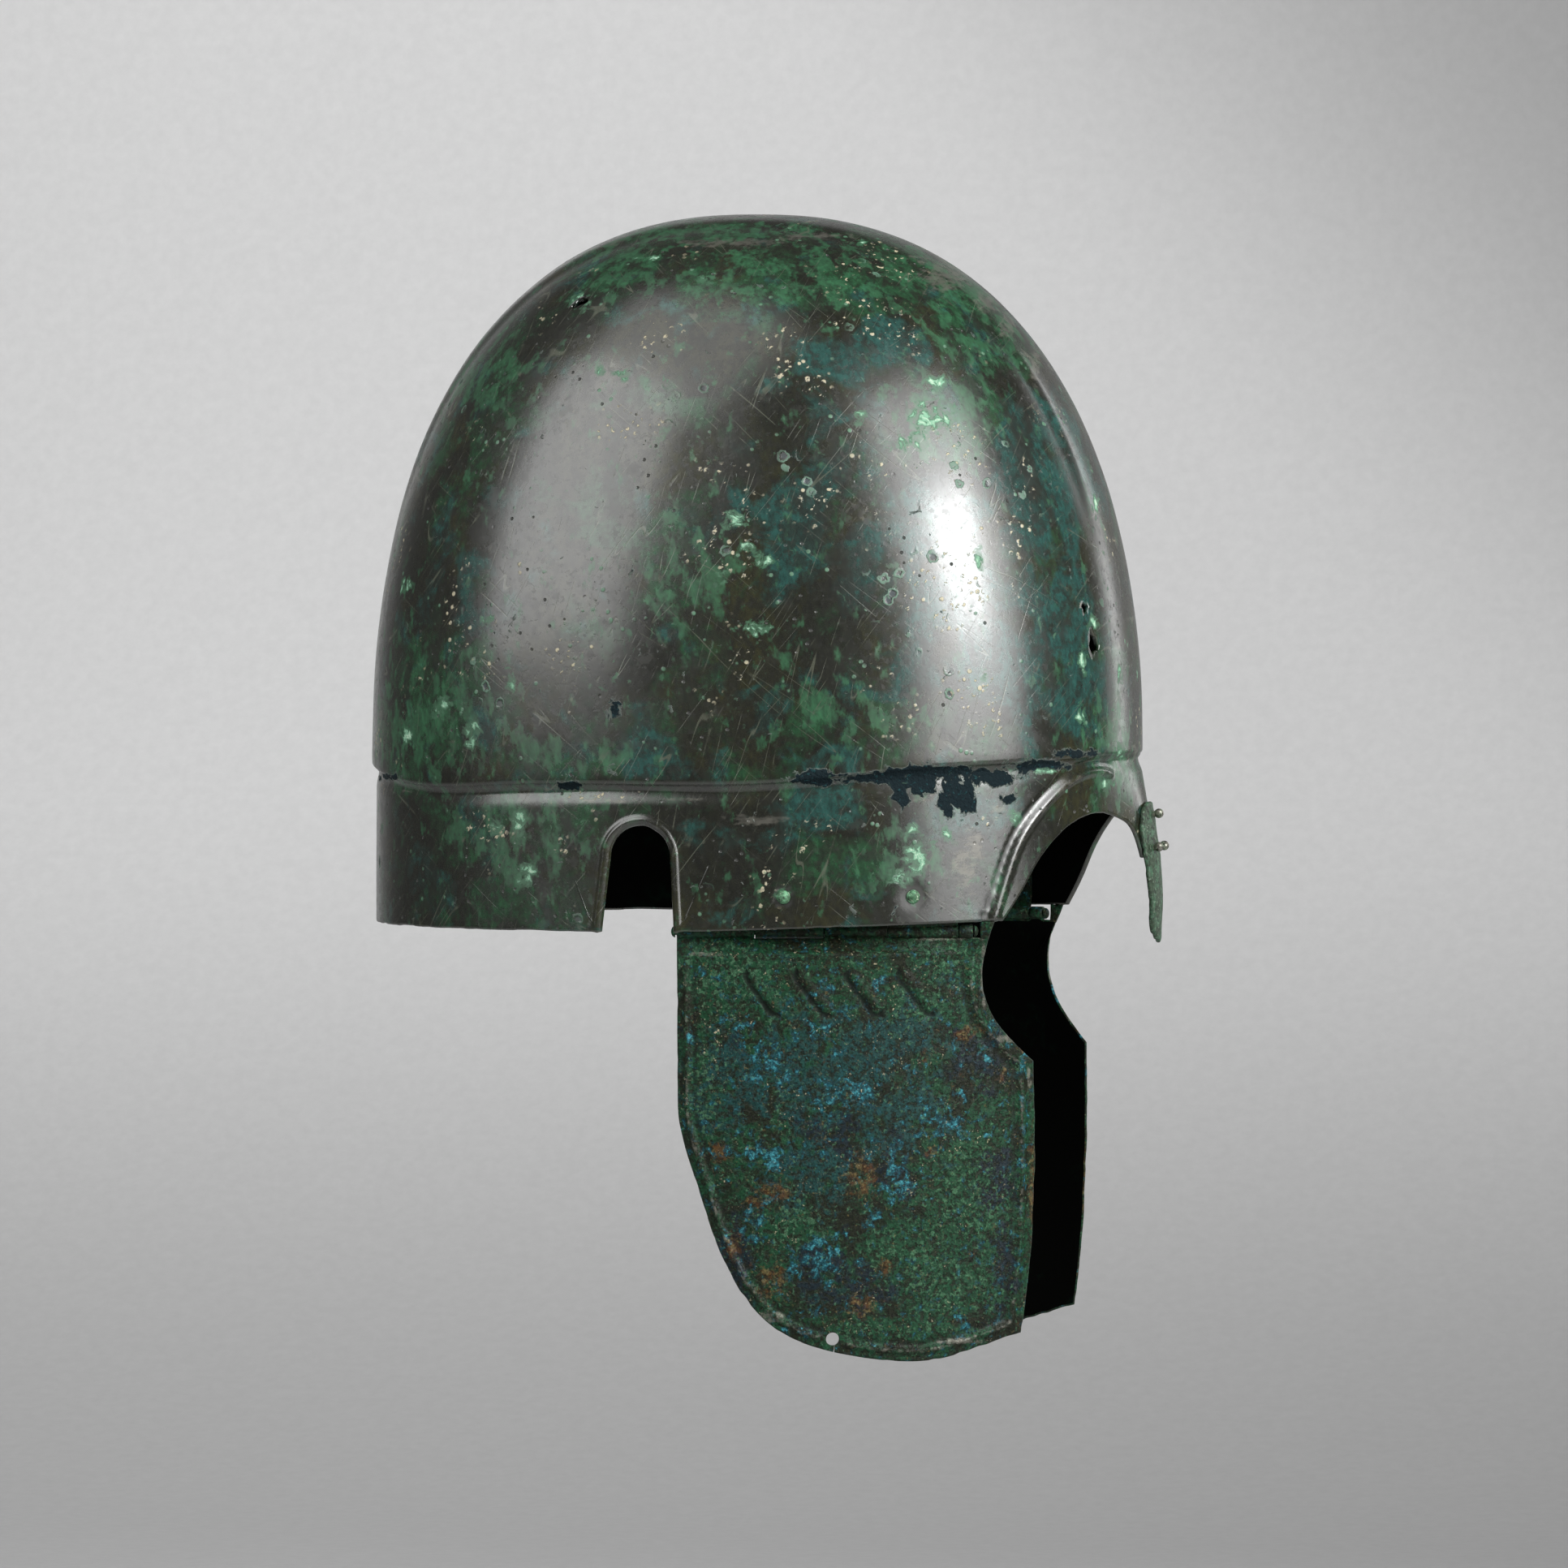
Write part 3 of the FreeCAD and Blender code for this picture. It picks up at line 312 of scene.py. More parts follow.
def blots(spots, patches):
    """How deep in a patch each place lies: one well inside, falling to zero half a size beyond its edge."""
    bend = np.stack([hills(spots, FAR_SIDE_HILL, seed) for seed in (1, 2, 3)], axis=1)
    folded = spots * [1, -1, 1] + FAR_SIDE_BEND * bend
    seen = in_photo(np.where(spots[:, 1:2] > 0, folded, spots))
    deepest = np.zeros(len(spots))
    for across, down, half_width, half_height in patches:
        away = np.hypot((seen[:, 0] - across) / half_width, (seen[:, 1] - down) / half_height)
        deepest = np.maximum(deepest, np.clip(1.5 - away, 0, 1))
    return deepest


# %% [markdown]
# A rivet, a drill and a pin's head are all turned on a lathe: a profile carried round an axis.

# %% Turned forms
def turned(profile, sides, seat, axis, roughness=0.0, seed=0):
    """A closed mesh of a profile of radius and height, turned about an axis through the seat."""
    across = np.cross([0, 0, 1.0], axis)
    across /= np.linalg.norm(across)
    base = np.stack([across, np.cross(axis, across), axis])
    turns = np.linspace(0, 2 * math.pi, sides, endpoint=False)
    circle = np.stack([np.cos(turns), np.sin(turns), 0 * turns], axis=1)
    rings = [(circle * radius + [0, 0, height])[:sides if radius > 0 else 1] for radius, height in profile]
    rings = [ring @ base + seat for ring in rings]
    rings = [ring + roughness * crust(ring, 1.6 * MM, 3, seed)[:, None] * axis for ring in rings]
    return outward(stack_mesh("turned", rings))


# %% [markdown]
# The bowl in plan is a rounded oval, a little squarer than an ellipse. Its dome shrinks that
# oval on a rounded profile up to the crown. Its band keeps the oval and draws it forward at the
# bridge of the nose. The wavy step parts the two.

# %% The bowl's formulas
def oval(turn, half_length, half_width):
    """Where a ray at that turn meets the oval.

    There |x / length| and |y / width|, each raised to the plan power, sum to one.
    """
    reach = (np.abs(np.cos(turn) / half_length) ** PLAN_POWER
             + np.abs(np.sin(turn) / half_width) ** PLAN_POWER) ** (-1 / PLAN_POWER)
    return reach * np.cos(turn), reach * np.sin(turn)


def band_points(turn, height, inset):
    """Places on the band: the oval, pushed forward by a bell curve round the middle of the nose."""
    length = HALF_LENGTH - STEP_OVERHANG - inset
    width = HALF_WIDTH - STEP_OVERHANG - inset
    x, y = oval(turn, length, width)
    shares = np.array(BAND_SHARES)
    flare = BRIDGE_FLARE * np.interp(height / STEP_FRONT, shares[:, 0], shares[:, 1])
    x = x + np.where(np.cos(turn) > 0, flare * np.exp(-((y / BRIDGE_HALF_WIDTH) ** 2)), 0)
    return np.stack([x, y, height + 0 * x], axis=-1)


RISE_TURNS = np.linspace(0, math.pi / 2, 400)
PROFILE_OUT = np.concatenate([[1], np.cos(RISE_TURNS) ** (2 / DOME_POWER)])
PROFILE_UP = np.concatenate([[-0.2], np.sin(RISE_TURNS) ** (2 / DOME_POWER)])
PROFILE_RUN = np.concatenate([[0], np.cumsum(np.hypot(HALF_LENGTH * np.diff(PROFILE_OUT),
                                                      DOME_RISE * np.diff(PROFILE_UP)))])


def run_at(height):
    """How far up the dome's profile a height lies, measured along the metal."""
    return np.interp((height - FOOT_HEIGHT) / DOME_RISE, PROFILE_UP, PROFILE_RUN)


def dome_points(turn, run, inset):
    """Places on the dome: the oval, shrunk by the profile's own width at that run."""
    out = np.interp(run, PROFILE_RUN, PROFILE_OUT)
    up = np.interp(run, PROFILE_RUN, PROFILE_UP)
    x, y = oval(turn, (HALF_LENGTH - inset), (HALF_WIDTH - inset))
    return np.stack([x * out, y * out, FOOT_HEIGHT + (DOME_RISE - inset) * up], axis=-1)


def step_height(x):
    """The step's height in side view, read from its few shares on a smooth curve."""
    shares = np.array(STEP_SHARES)
    heights = (STEP_SIDE + shares[:, 1] * (STEP_BACK - STEP_SIDE) + shares[:, 2] * (STEP_FRONT - STEP_SIDE))
    curve = through(np.stack([shares[:, 0] * HALF_LENGTH, heights], axis=1), 300)
    return np.interp(x, curve[:, 0], curve[:, 1])


print("bowl height", round((FOOT_HEIGHT + DOME_RISE) / MM), "mm, step at the side", STEP_SIDE / MM, "mm")

# %% [markdown]
# The lower edge runs from the nape round the ear notch, along the temple, over the eye and down
# to the stub that carries the nasal guard. Unrolled flat, as the smith's paper pattern would be,
# it is one line of places: how far round the band, and how high.

# %% The lower edge, unrolled
NOTCH_FOOT_BACK = -30.34 * MM
NOTCH_BACK = -27.5 * MM
NOTCH_FRONT = -9.4 * MM
NOTCH_FOOT_FRONT = -8.33 * MM
NOTCH_SHOULDER = 22 * MM
NOTCH_HEIGHT = 31 * MM
TEMPLE_START = -7.9 * MM
TEMPLE_FRONT = 82.4 * MM
TEMPLE_RISE = 3 * MM
EYE_SPREAD = 70 * MM
EYE_HEIGHT = 33.8 * MM
STUB_HALF_WIDTH = 9.5 * MM
STUB_FOOT = 20 * MM
BROW_HEIGHT = 46.3 * MM
EDGE_WEAR = 0.35 * MM
EYE_SHARES = [(0.956, 0.095), (0.88, 0.39), (0.80, 0.68), (0.68, 0.90), (0.53, 1.00),
              (0.32, 0.955), (0.20, 0.86)]
BROW_SHARES = [(0.985, 0.09), (0.945, 0.36), (0.89, 0.61), (0.80, 0.80), (0.69, 0.935),
               (0.53, 1.00), (0.37, 0.985)]

BAND_LENGTH = HALF_LENGTH - STEP_OVERHANG
BAND_WIDTH = HALF_WIDTH - STEP_OVERHANG
ROUND_TURNS = np.linspace(math.pi, 0, 2000)
ROUND_X, ROUND_Y = oval(ROUND_TURNS, BAND_LENGTH, BAND_WIDTH)
ROUND_RUN = np.concatenate([[0], np.cumsum(np.hypot(np.diff(ROUND_X), np.diff(ROUND_Y)))])


def round_at_side(x):
    """How far round from the nape the band's side is at a place along X."""
    return np.interp(x, ROUND_X, ROUND_RUN)


def round_at_front(y):
    """How far round from the nape the band's front is at a distance from the middle."""
    front = ROUND_X > 0
    return np.interp(-y, -ROUND_Y[front], ROUND_RUN[front])


def temple_height(x):
    """The rim's height along the temple, which rises evenly to the front."""
    return TEMPLE_RISE * (x - TEMPLE_START) / (TEMPLE_FRONT - TEMPLE_START)


def lower_edge():
    """The half edge from nape to nose, unrolled, and where its corners are in the list."""
    line = np.linspace
    notch_middle = (NOTCH_BACK + NOTCH_FRONT) / 2
    notch_radius = (NOTCH_FRONT - NOTCH_BACK) / 2
    arc = line(math.pi, 0, 41)
    eye = [(y * EYE_SPREAD, z * EYE_HEIGHT) for y, z in EYE_SHARES]
    eye = through(eye + [(STUB_HALF_WIDTH, STUB_FOOT)], 120)
    temple = line(NOTCH_FOOT_FRONT, oval_front_x(eye[0, 0]), 81)
    pieces = [
        (line(0, round_at_side(NOTCH_FOOT_BACK), 99), np.zeros(99)),
        (round_at_side(line(NOTCH_FOOT_BACK, NOTCH_BACK, 25)), line(0, NOTCH_SHOULDER, 25)),
        (round_at_side(notch_middle + notch_radius * np.cos(arc)),
         NOTCH_SHOULDER + (NOTCH_HEIGHT - NOTCH_SHOULDER) * np.sin(arc)),
        (round_at_side(line(NOTCH_FRONT, NOTCH_FOOT_FRONT, 25)), line(NOTCH_SHOULDER, 0, 25)),
        (round_at_side(temple), np.maximum(temple_height(temple), 0)),
        (round_at_front(eye[:, 0]), eye[:, 1]),
        (round_at_front(line(STUB_HALF_WIDTH, 0, 12)), np.full(12, STUB_FOOT)),
    ]
    edge = np.concatenate([np.stack(piece, axis=1)[min(index, 1):] for index, piece in enumerate(pieces)])
    corners = np.cumsum([len(piece[0]) - min(index, 1) for index, piece in enumerate(pieces)]) - 1
    wear = hills(on_sheet(edge), 9 * MM, 4) + 0.5 * hills(on_sheet(edge), 3 * MM, 6)
    edge[:, 1] += EDGE_WEAR * np.clip(wear, 0, 1)
    return edge, corners


def oval_front_x(y):
    """How far forward the band's oval stands at a distance from the middle."""
    return BAND_LENGTH * (1 - (y / BAND_WIDTH) ** PLAN_POWER) ** (1 / PLAN_POWER)


EDGE, EDGE_CORNERS = lower_edge()
edge_length = np.linalg.norm(np.diff(EDGE, axis=0), axis=1).sum()
print("lower edge:", len(EDGE), "places,", round(edge_length / MM), "mm")

# %% [markdown]
# From that edge the grid climbs to the step. The first rows keep even distances from the edge,
# because the bead and the rounded rim follow it. Above them each column runs straight to its
# own place on the step, so the columns fan out round the notch and the eye like ribs of a fan.

# %% Rows of the band
NEAR_ROWS = np.array([0.55, 0.9, 1.3, 1.7, 2.1, 2.6, 3.1, 3.7, 4.5]) * MM
FAR_ROWS = 26
LIP_DROP = 1.6 * MM
TOP_SIDES = [-48 * MM, -35 * MM, -18.5 * MM, -3 * MM, 12 * MM]
TOP_FRONTS = [80 * MM, 64 * MM, 42 * MM, 22 * MM, 7.5 * MM, 0]


def top_places(edge, corners):
    """Where each column meets the step: chosen places at the corners, spread evenly between."""
    keys = [0, corners[0], corners[1], (corners[1] + corners[2]) // 2, corners[2], corners[3],
            corners[4], corners[4] + 30, corners[4] + 60, corners[4] + 90, corners[5], corners[6]]
    rounds = [0] + [round_at_side(x) for x in TOP_SIDES] + [round_at_front(y) for y in TOP_FRONTS]
    even = np.interp(np.arange(len(edge)), keys, rounds)
    padded = np.concatenate([2 * even[0] - even[8:0:-1], even, 2 * even[-1] - even[-2:-10:-1]])
    return np.convolve(padded, np.ones(17) / 17, mode="valid")


def inward(edge):
    """Directions square to the edge into the metal, turned gradually round the corners."""
    along = np.gradient(edge, axis=0)
    square = np.stack([-along[:, 1], along[:, 0]], axis=1)
    square /= np.linalg.norm(square, axis=1)[:, None]
    padded = np.concatenate([square[4:0:-1] * [-1, 1], square, square[-2:-6:-1] * [-1, 1]])
    eased = np.stack([np.convolve(padded[:, axis], np.ones(9) / 9, mode="valid") for axis in (0, 1)], axis=1)
    return eased / np.linalg.norm(eased, axis=1)[:, None]


def band_rows(edge, corners):
    """All rows from the edge to just under the step, unrolled: shape rows by columns by two."""
    direction = inward(edge)
    near = edge + NEAR_ROWS[:, None, None] * direction
    top_round = top_places(edge, corners)
    top = np.stack([top_round, step_height(np.interp(top_round, ROUND_RUN, ROUND_X)) - LIP_DROP], axis=1)
    climb = np.linspace(0, 1, FAR_ROWS + 1)[1:, None, None]
    far = near[-1] + climb * (top - near[-1])
    return np.concatenate([near, far])


def whole(rows):
    """Both halves of unrolled rows as turns and heights: the right half, then its mirror."""
    turn = np.interp(rows[..., 0], ROUND_RUN, ROUND_TURNS)
    turn = np.concatenate([-turn, turn[:, -2:0:-1]], axis=1)
    height = np.concatenate([rows[..., 1], rows[:, -2:0:-1, 1]], axis=1)
    return turn, height


BAND_FLAT = band_rows(EDGE, EDGE_CORNERS)
BAND_TURN, BAND_HEIGHT = whole(BAND_FLAT)
print("band rows by columns:", BAND_TURN.shape)

# %% [markdown]
# Three things stand out of the plain band: a bead hammered along the ear notch, a rib over each
# eye, and the stiff median band of the crown. Each is a height added along the surface's own
# normal, and depends only on the distance to a line.

# %% What stands proud of the bowl
BEAD_PLACE = 1.7 * MM
BEAD_HALF_WIDTH = 1.6 * MM
BEAD_STAND = 0.8 * MM
RIB_HALF_WIDTH = 2.1 * MM
RIB_STAND = 1.2 * MM
RIB_GROOVE_PLACE = 2.9 * MM
RIB_GROOVE = 0.45 * MM
RIB_GROOVE_HALF = 0.8 * MM
STEP_HOLLOW_PLACE = 1.9 * MM
STEP_HOLLOW_HALF = 4.2 * MM
STEP_HOLLOW = 0.75 * MM
DIMPLE_REACH = 5.5 * MM
DIMPLE = 0.35 * MM
RIVET_HEIGHT = 10.6 * MM
RIVET_PLACES = [24.3 * MM, 61 * MM]
RIVET_COLLAR = 2.6 * MM
CROWN_BAND_EDGE = (22 * MM, 29 * MM)
CROWN_BAND_RISE = (105 * MM, 150 * MM)
CROWN_BAND_DROP = 0.9 * MM
CROWN_BAND_FADE = (120 * MM, 60 * MM)
WAVE = 0.22 * MM
WAVE_SIZE = 34 * MM
BLOW = 0.07 * MM
BLOW_SIZE = 12 * MM


def half_round(distance, half_width, stand):
    """A rounded bar: full height on its line, falling as a squared cosine to its sides."""
    return stand * np.cos(np.clip(distance / half_width, 0, 1) * math.pi / 2) ** 2


def unrolled(turn, height):
    """The right-hand paper pattern's place of each point, the left side folded onto it."""
    return np.stack([np.interp(-np.abs(turn), -ROUND_TURNS, ROUND_RUN), height], axis=-1)


def band_relief(turn, height):
    """How far beads and ribs stand out of the band."""
    flat = unrolled(turn, height).reshape(-1, 2)
    notch_line = EDGE[EDGE_CORNERS[0]:EDGE_CORNERS[3] + 1:2]
    away, _ = distance_to(notch_line, flat)
    relief = half_round(np.abs(away - BEAD_PLACE), BEAD_HALF_WIDTH, BEAD_STAND)
    crest = through([(y * EYE_SPREAD, z * BROW_HEIGHT) for y, z in BROW_SHARES], 60)
    rib_line = np.stack([round_at_front(crest[:, 0]), crest[:, 1]], axis=1)
    away, side = distance_to(rib_line, flat)
    ends = soft_step(rib_line[-1, 0] + 3 * MM - flat[:, 0], 0, 8 * MM)
    relief += half_round(away, RIB_HALF_WIDTH, RIB_STAND) * ends
    outer = np.where(side > 0, away, 1)
    relief -= half_round(np.abs(outer - RIB_GROOVE_PLACE), RIB_GROOVE_HALF, RIB_GROOVE) * ends
    dimple = np.zeros(len(flat))
    for x in RIVET_PLACES:
        away = np.hypot(flat[:, 0] - round_at_side(x), flat[:, 1] - RIVET_HEIGHT)
        dimple += half_round(away, DIMPLE_REACH, DIMPLE)
    relief -= dimple
    under = step_height(np.interp(flat[:, 0], ROUND_RUN, ROUND_X)) - flat[:, 1]
    relief -= half_round(np.abs(under - STEP_HOLLOW_PLACE), STEP_HOLLOW_HALF, STEP_HOLLOW)
    return relief.reshape(turn.shape)


def rivet_seat(x):
    """Where a hinge rivet meets the band's outside on the right, and its axis out of the helmet."""
    turn = np.interp(round_at_side(x), ROUND_RUN, ROUND_TURNS)
    before, here, after = band_points(-turn + np.array([-0.01, 0, 0.01]), RIVET_HEIGHT, 0)
    axis = np.cross(after - before, [0, 0, 1.0])
    return here, axis / np.linalg.norm(axis)


def normals_of(points):
    """Normals of a grid of closed rings, from the cross product of its two directions."""
    around = np.roll(points, -1, axis=1) - np.roll(points, 1, axis=1)
    up = np.gradient(points, axis=0)
    normal = np.cross(around, up)
    return normal / np.maximum(np.linalg.norm(normal, axis=2), 1e-12)[..., None]


def crown_relief(points):
    """The median band: the metal beside it is hammered a little lower over the crown and brow."""
    out = np.abs(points[..., 1])
    beside = soft_step(out, *CROWN_BAND_EDGE)
    high = soft_step(points[..., 2], *CROWN_BAND_RISE)
    return -CROWN_BAND_DROP * beside * high * soft_step(CROWN_BAND_FADE[0] - out, 0, CROWN_BAND_FADE[1])


def hammering(points):
    """Slow waves left by the hammer, finer towards the rim."""
    return WAVE * hills(points, WAVE_SIZE, 3) + BLOW * hills(points, BLOW_SIZE, 5)


# %% [markdown]
# Now the rings can be stacked: the band from its edge to the step, the rounded lip of the step,
# the dome up to the crown, then back down inside. One closed mesh stands for the whole bowl.

# %% Rings of the bowl
DOME_ROWS = 84
INNER_ROWS = 26
INNER_BAND_ROWS = [-1, -5, -9, -13, -17, -21, -27, -29]
LIP = [(0.95, -0.75), (0.70, -0.15), (0.28, 0.12), (0.05, 0.65), (0.0, 1.4)]
RIM_TURNS = [30, 60, 90, 120, 150]
RIM_ROUND = 0.8


def outer_rings():
    """Rings of the outside, from the rim up over the lip of the step to the crown."""
    base = band_points(BAND_TURN, BAND_HEIGHT, 0)
    lift = band_relief(BAND_TURN, BAND_HEIGHT) + 0.5 * hammering(base)
    rings = list(base + normals_of(base) * lift[..., None])
    turn, top = BAND_TURN[-1], BAND_HEIGHT[-1] + LIP_DROP
    for inset, lift in LIP:
        low = band_points(turn, top + lift * MM, 0)
        full = dome_points(turn, run_at(top + lift * MM), 0)
        rings.append(low * inset + full * (1 - inset))
    coarse_turn = turn[::2]
    start = run_at(top[::2] + LIP[-1][1] * MM)
    share = np.linspace(0, 1, DOME_ROWS + 1)[1:-1]
    runs = start + share[:, None] * (PROFILE_RUN[-1] - start)
    base = dome_points(coarse_turn + 0 * runs, runs, 0)
    fade = soft_step(share, 0, 0.06)[:, None]
    shaped = base + normals_of(base) * (crown_relief(base) + fade * hammering(base))[..., None]
    rings += list(shaped)
    rings.append(shaped[-1].mean(axis=0)[None])
    return rings


def inner_rings():
    """Rings of the inside, from the crown down to the rim, one sheet's thickness in."""
    turn, top = BAND_TURN[-1][::2], BAND_HEIGHT[-1][::2] + LIP_DROP + WALL
    start = run_at(top)
    share = np.linspace(1, 0, INNER_ROWS + 1)[1:]
    runs = start + share[:, None] * (PROFILE_RUN[-1] - start)
    dome = dome_points(turn + 0 * runs, runs, WALL)
    waves = soft_step(share, 0, 0.1)[:, None] * hammering(dome) + crown_relief(dome)
    dome = dome + normals_of(dome[::-1])[::-1] * waves[..., None]
    band = [band_points(BAND_TURN[row][::2], BAND_HEIGHT[row][::2], WALL) for row in INNER_BAND_ROWS]
    edge = [band_points(BAND_TURN[row], BAND_HEIGHT[row], WALL) for row in (2, 0)]
    return [dome[0].mean(axis=0)[None]] + list(dome) + band + edge


def rim_rings(outer, outer_next, inner):
    """A half-round rim between the inside's last ring and the outside's first."""
    middle = (outer + inner) / 2
    across = outer - middle
    half = np.linalg.norm(across, axis=1)[:, None]
    out = outer - outer_next
    out /= np.linalg.norm(out, axis=1)[:, None]
    turns = np.radians(RIM_TURNS)[::-1]
    return [middle + across * math.cos(turn) + out * half * RIM_ROUND * math.sin(turn) for turn in turns]


# %% [markdown]
# Where the finish changes on the bowl, seen in the photo: the blue-black crust that runs below the step,
# whose thin rows along the step also paint the step's shadow, verdigris, clusters of pale flecks, the greener
# and bluer stretches of the patina, and the places where handling or cleaning left bare metal. That bare
# metal is partly painted highlight, as in the strip under the step. Each row is a blot: its centre across and
# down, then half its width and half its height.

# %% Patches on the bowl
BOWL_PATCHES = {
    # blue-black crust; the thin rows along the step are painted shadow under its lip
    "crusted": [
        (1090, 958, 42, 9), (1135, 966, 34, 15), (1178, 978, 26, 20), (1170, 996, 9, 12),
        (1195, 992, 9, 12), (1222, 958, 36, 11), (1275, 943, 36, 8), (1325, 928, 30, 6), (1010, 962, 34, 5),
        (702, 968, 16, 7), (760, 873, 9, 8), (1000, 955, 60, 3), (480, 957, 16, 4), (1240, 985, 12, 6),
        (1110, 985, 12, 7), (1150, 950, 60, 8),
    ],
    "mint": [
        (1130, 1056, 19, 22), (1113, 1082, 14, 14), (1166, 1030, 6, 12), (1147, 1040, 10, 6),
        (1380, 926, 7, 13), (1363, 966, 9, 9), (1334, 815, 6, 14), (1380, 833, 4, 13), (1332, 883, 7, 11),
        (1346, 770, 8, 10), (1155, 470, 20, 11), (1060, 515, 11, 11), (1150, 512, 34, 20),
        (1120, 545, 24, 10), (716, 371, 17, 12), (745, 388, 9, 5), (501, 722, 7, 12), (600, 765, 9, 17),
        (582, 905, 12, 18), (640, 1012, 11, 16), (612, 1022, 10, 10), (502, 908, 8, 16), (545, 872, 12, 15),
        (630, 842, 6, 20), (757, 830, 4, 4), (965, 1102, 11, 9), (1125, 1107, 10, 9), (648, 1078, 14, 16),
        (1207, 690, 8, 14), (765, 462, 14, 9), (905, 640, 18, 12), (940, 690, 13, 8), (890, 708, 9, 9),
        (920, 672, 10, 10), (740, 455, 8, 8), (1213, 835, 6, 12), (1125, 1020, 9, 10), (820, 470, 5, 5),
        (870, 345, 14, 7), (800, 318, 20, 4), (1250, 1010, 8, 12), (1290, 950, 20, 4), (1350, 620, 5, 12),
        (1060, 300, 14, 4), (930, 775, 22, 10),
    ],
    "flecked": [
        (870, 580, 34, 24), (990, 470, 32, 22), (965, 415, 34, 24), (880, 680, 42, 34), (740, 520, 42, 30),
        (1150, 560, 70, 50), (1165, 735, 50, 50), (1070, 400, 52, 30), (720, 800, 34, 18),
        (590, 830, 30, 20), (1190, 850, 46, 26), (985, 1030, 52, 22), (600, 1020, 34, 18),
        (1110, 330, 50, 20), (760, 980, 60, 6), (560, 760, 20, 40), (1225, 900, 30, 20), (640, 700, 20, 30),
        (1260, 620, 24, 50), (1080, 830, 30, 30), (1000, 610, 30, 30), (820, 420, 40, 24),
        (700, 1040, 20, 20), (930, 1085, 60, 14),
    ],
    "verdant": [
        (1000, 345, 200, 40), (1000, 330, 120, 26), (1200, 400, 70, 70), (540, 880, 70, 90),
        (890, 285, 150, 14), (640, 1030, 90, 60), (1170, 520, 70, 50), (850, 700, 60, 60),
        (600, 470, 60, 60), (760, 330, 60, 40), (700, 930, 120, 20), (1050, 880, 70, 40),
        (1110, 1060, 50, 44), (1370, 920, 30, 60),
    ],
    "bluish": [
        (1290, 590, 60, 110), (1310, 800, 50, 110), (1075, 450, 70, 50), (590, 905, 26, 36),
        (576, 740, 12, 60), (790, 925, 56, 26), (960, 660, 60, 60), (1210, 790, 50, 60),
        (1160, 790, 60, 60), (1330, 860, 26, 60), (1080, 700, 40, 50), (1190, 1000, 60, 24),
        (900, 640, 50, 40), (640, 620, 14, 30), (1020, 560, 40, 60), (1150, 640, 50, 50),
        (1000, 1000, 60, 30), (1160, 700, 60, 90),
    ],
    "sooty": [
        (640, 400, 60, 40), (540, 1060, 70, 60), (690, 1090, 50, 40), (960, 800, 110, 50),
        (860, 880, 100, 40), (488, 800, 16, 130), (600, 500, 30, 50), (900, 300, 200, 24),
        (520, 700, 30, 70), (940, 1060, 60, 40), (1020, 700, 50, 90), (1250, 400, 50, 60),
        (720, 910, 90, 20), (860, 700, 40, 90), (580, 420, 40, 50),
    ],
    # bare metal; the strips under the step and along the crown also stand in as painted highlight
    "worn": [
        (655, 981, 62, 4), (740, 987, 40, 4), (845, 985, 46, 3), (1188, 1070, 22, 38), (1200, 1040, 18, 30),
        (910, 299, 90, 7), (1010, 291, 60, 5), (1165, 340, 40, 26), (1215, 372, 20, 20), (1150, 985, 60, 5),
        (1130, 960, 40, 4), (750, 300, 20, 6), (1240, 400, 14, 24), (1130, 318, 20, 6), (490, 975, 22, 3),
        (1230, 1000, 16, 16), (560, 984, 30, 3), (930, 1010, 50, 8), (1275, 450, 8, 30),
    ],
}

# %% [markdown]
# The numbers of a finish are painted point by point: the blots above, and also what follows the form. These
# are the bare metal on the crests of the beads and ribs, which also stands in as painted highlight, and the
# painted shade in the grooves and in the dark collars round the rivets. The inner faces are marked, because
# they take a coat of their own, painted nearly black as shade.

# %% The bowl
def ring_numbers(rings, tell):
    """One number per point of the rings: what the rule says of the ring's place in the stack."""
    return np.concatenate([np.full(len(ring), float(tell(index))) for index, ring in enumerate(rings)])


def bowl():
    """The whole bowl, dressed, with its numbers for the finish."""
    outer = outer_rings()
    inner = inner_rings()
    rings = inner + rim_rings(outer[0], outer[1], inner[-1]) + outer
    mesh = stack_mesh("bowl", rings)
    spots = np.concatenate(rings)
    inside = ring_numbers(rings, lambda index: index < len(inner))
    paint(mesh, "inside", inside)
    for name, patches in BOWL_PATCHES.items():
        if name != "worn":
            paint(mesh, name, blots(spots, patches))
    turn = np.arctan2(spots[:, 1], spots[:, 0])
    low = spots[:, 2] < STEP_FRONT + 1 * MM
    relief = np.zeros(len(spots))
    relief[low] = band_relief(turn[low], spots[low, 2]) / RIB_STAND
    # bare metal on the crests of beads and ribs and in the listed places, which also stands in as painted
    # highlight
    paint(mesh, "worn", np.maximum(0.85 * np.clip(relief, 0, 1), blots(spots, BOWL_PATCHES["worn"])))
    # painted shade: the grooves beside the ribs, the dimples and a ring round each rivet are marked to be
    # darkened; the ring is partly a dark crust
    collar = np.min([np.linalg.norm(spots - rivet_seat(x)[0], axis=1) for x in RIVET_PLACES], axis=0)
    collar = half_round(np.abs(collar - RIVET_COLLAR), 0.9 * MM, 1.0)
    grooves = np.clip(-3 * relief, 0, 1) * (spots[:, 2] < STEP_SIDE - 6 * MM)
    paint(mesh, "hollow", np.maximum(grooves * (1 - collar), collar))
    return mesh, inside


# %% [markdown]
# Three holes are eaten through the bowl. Each is an uneven oval drill, set square to the metal
# at the place where the photo shows the hole, and taken away by an exact boolean.

# %% Holes through the bowl
PERFORATIONS = [
    # across, down, half length, half width, lean in degrees
    (713, 371, 2.9 * MM, 1.7 * MM, 35),
    (1335, 747, 1.5 * MM, 1.6 * MM, 80),
    (1347, 797, 3.0 * MM, 2.6 * MM, 95),
]
DRILL_REACH = 5 * MM


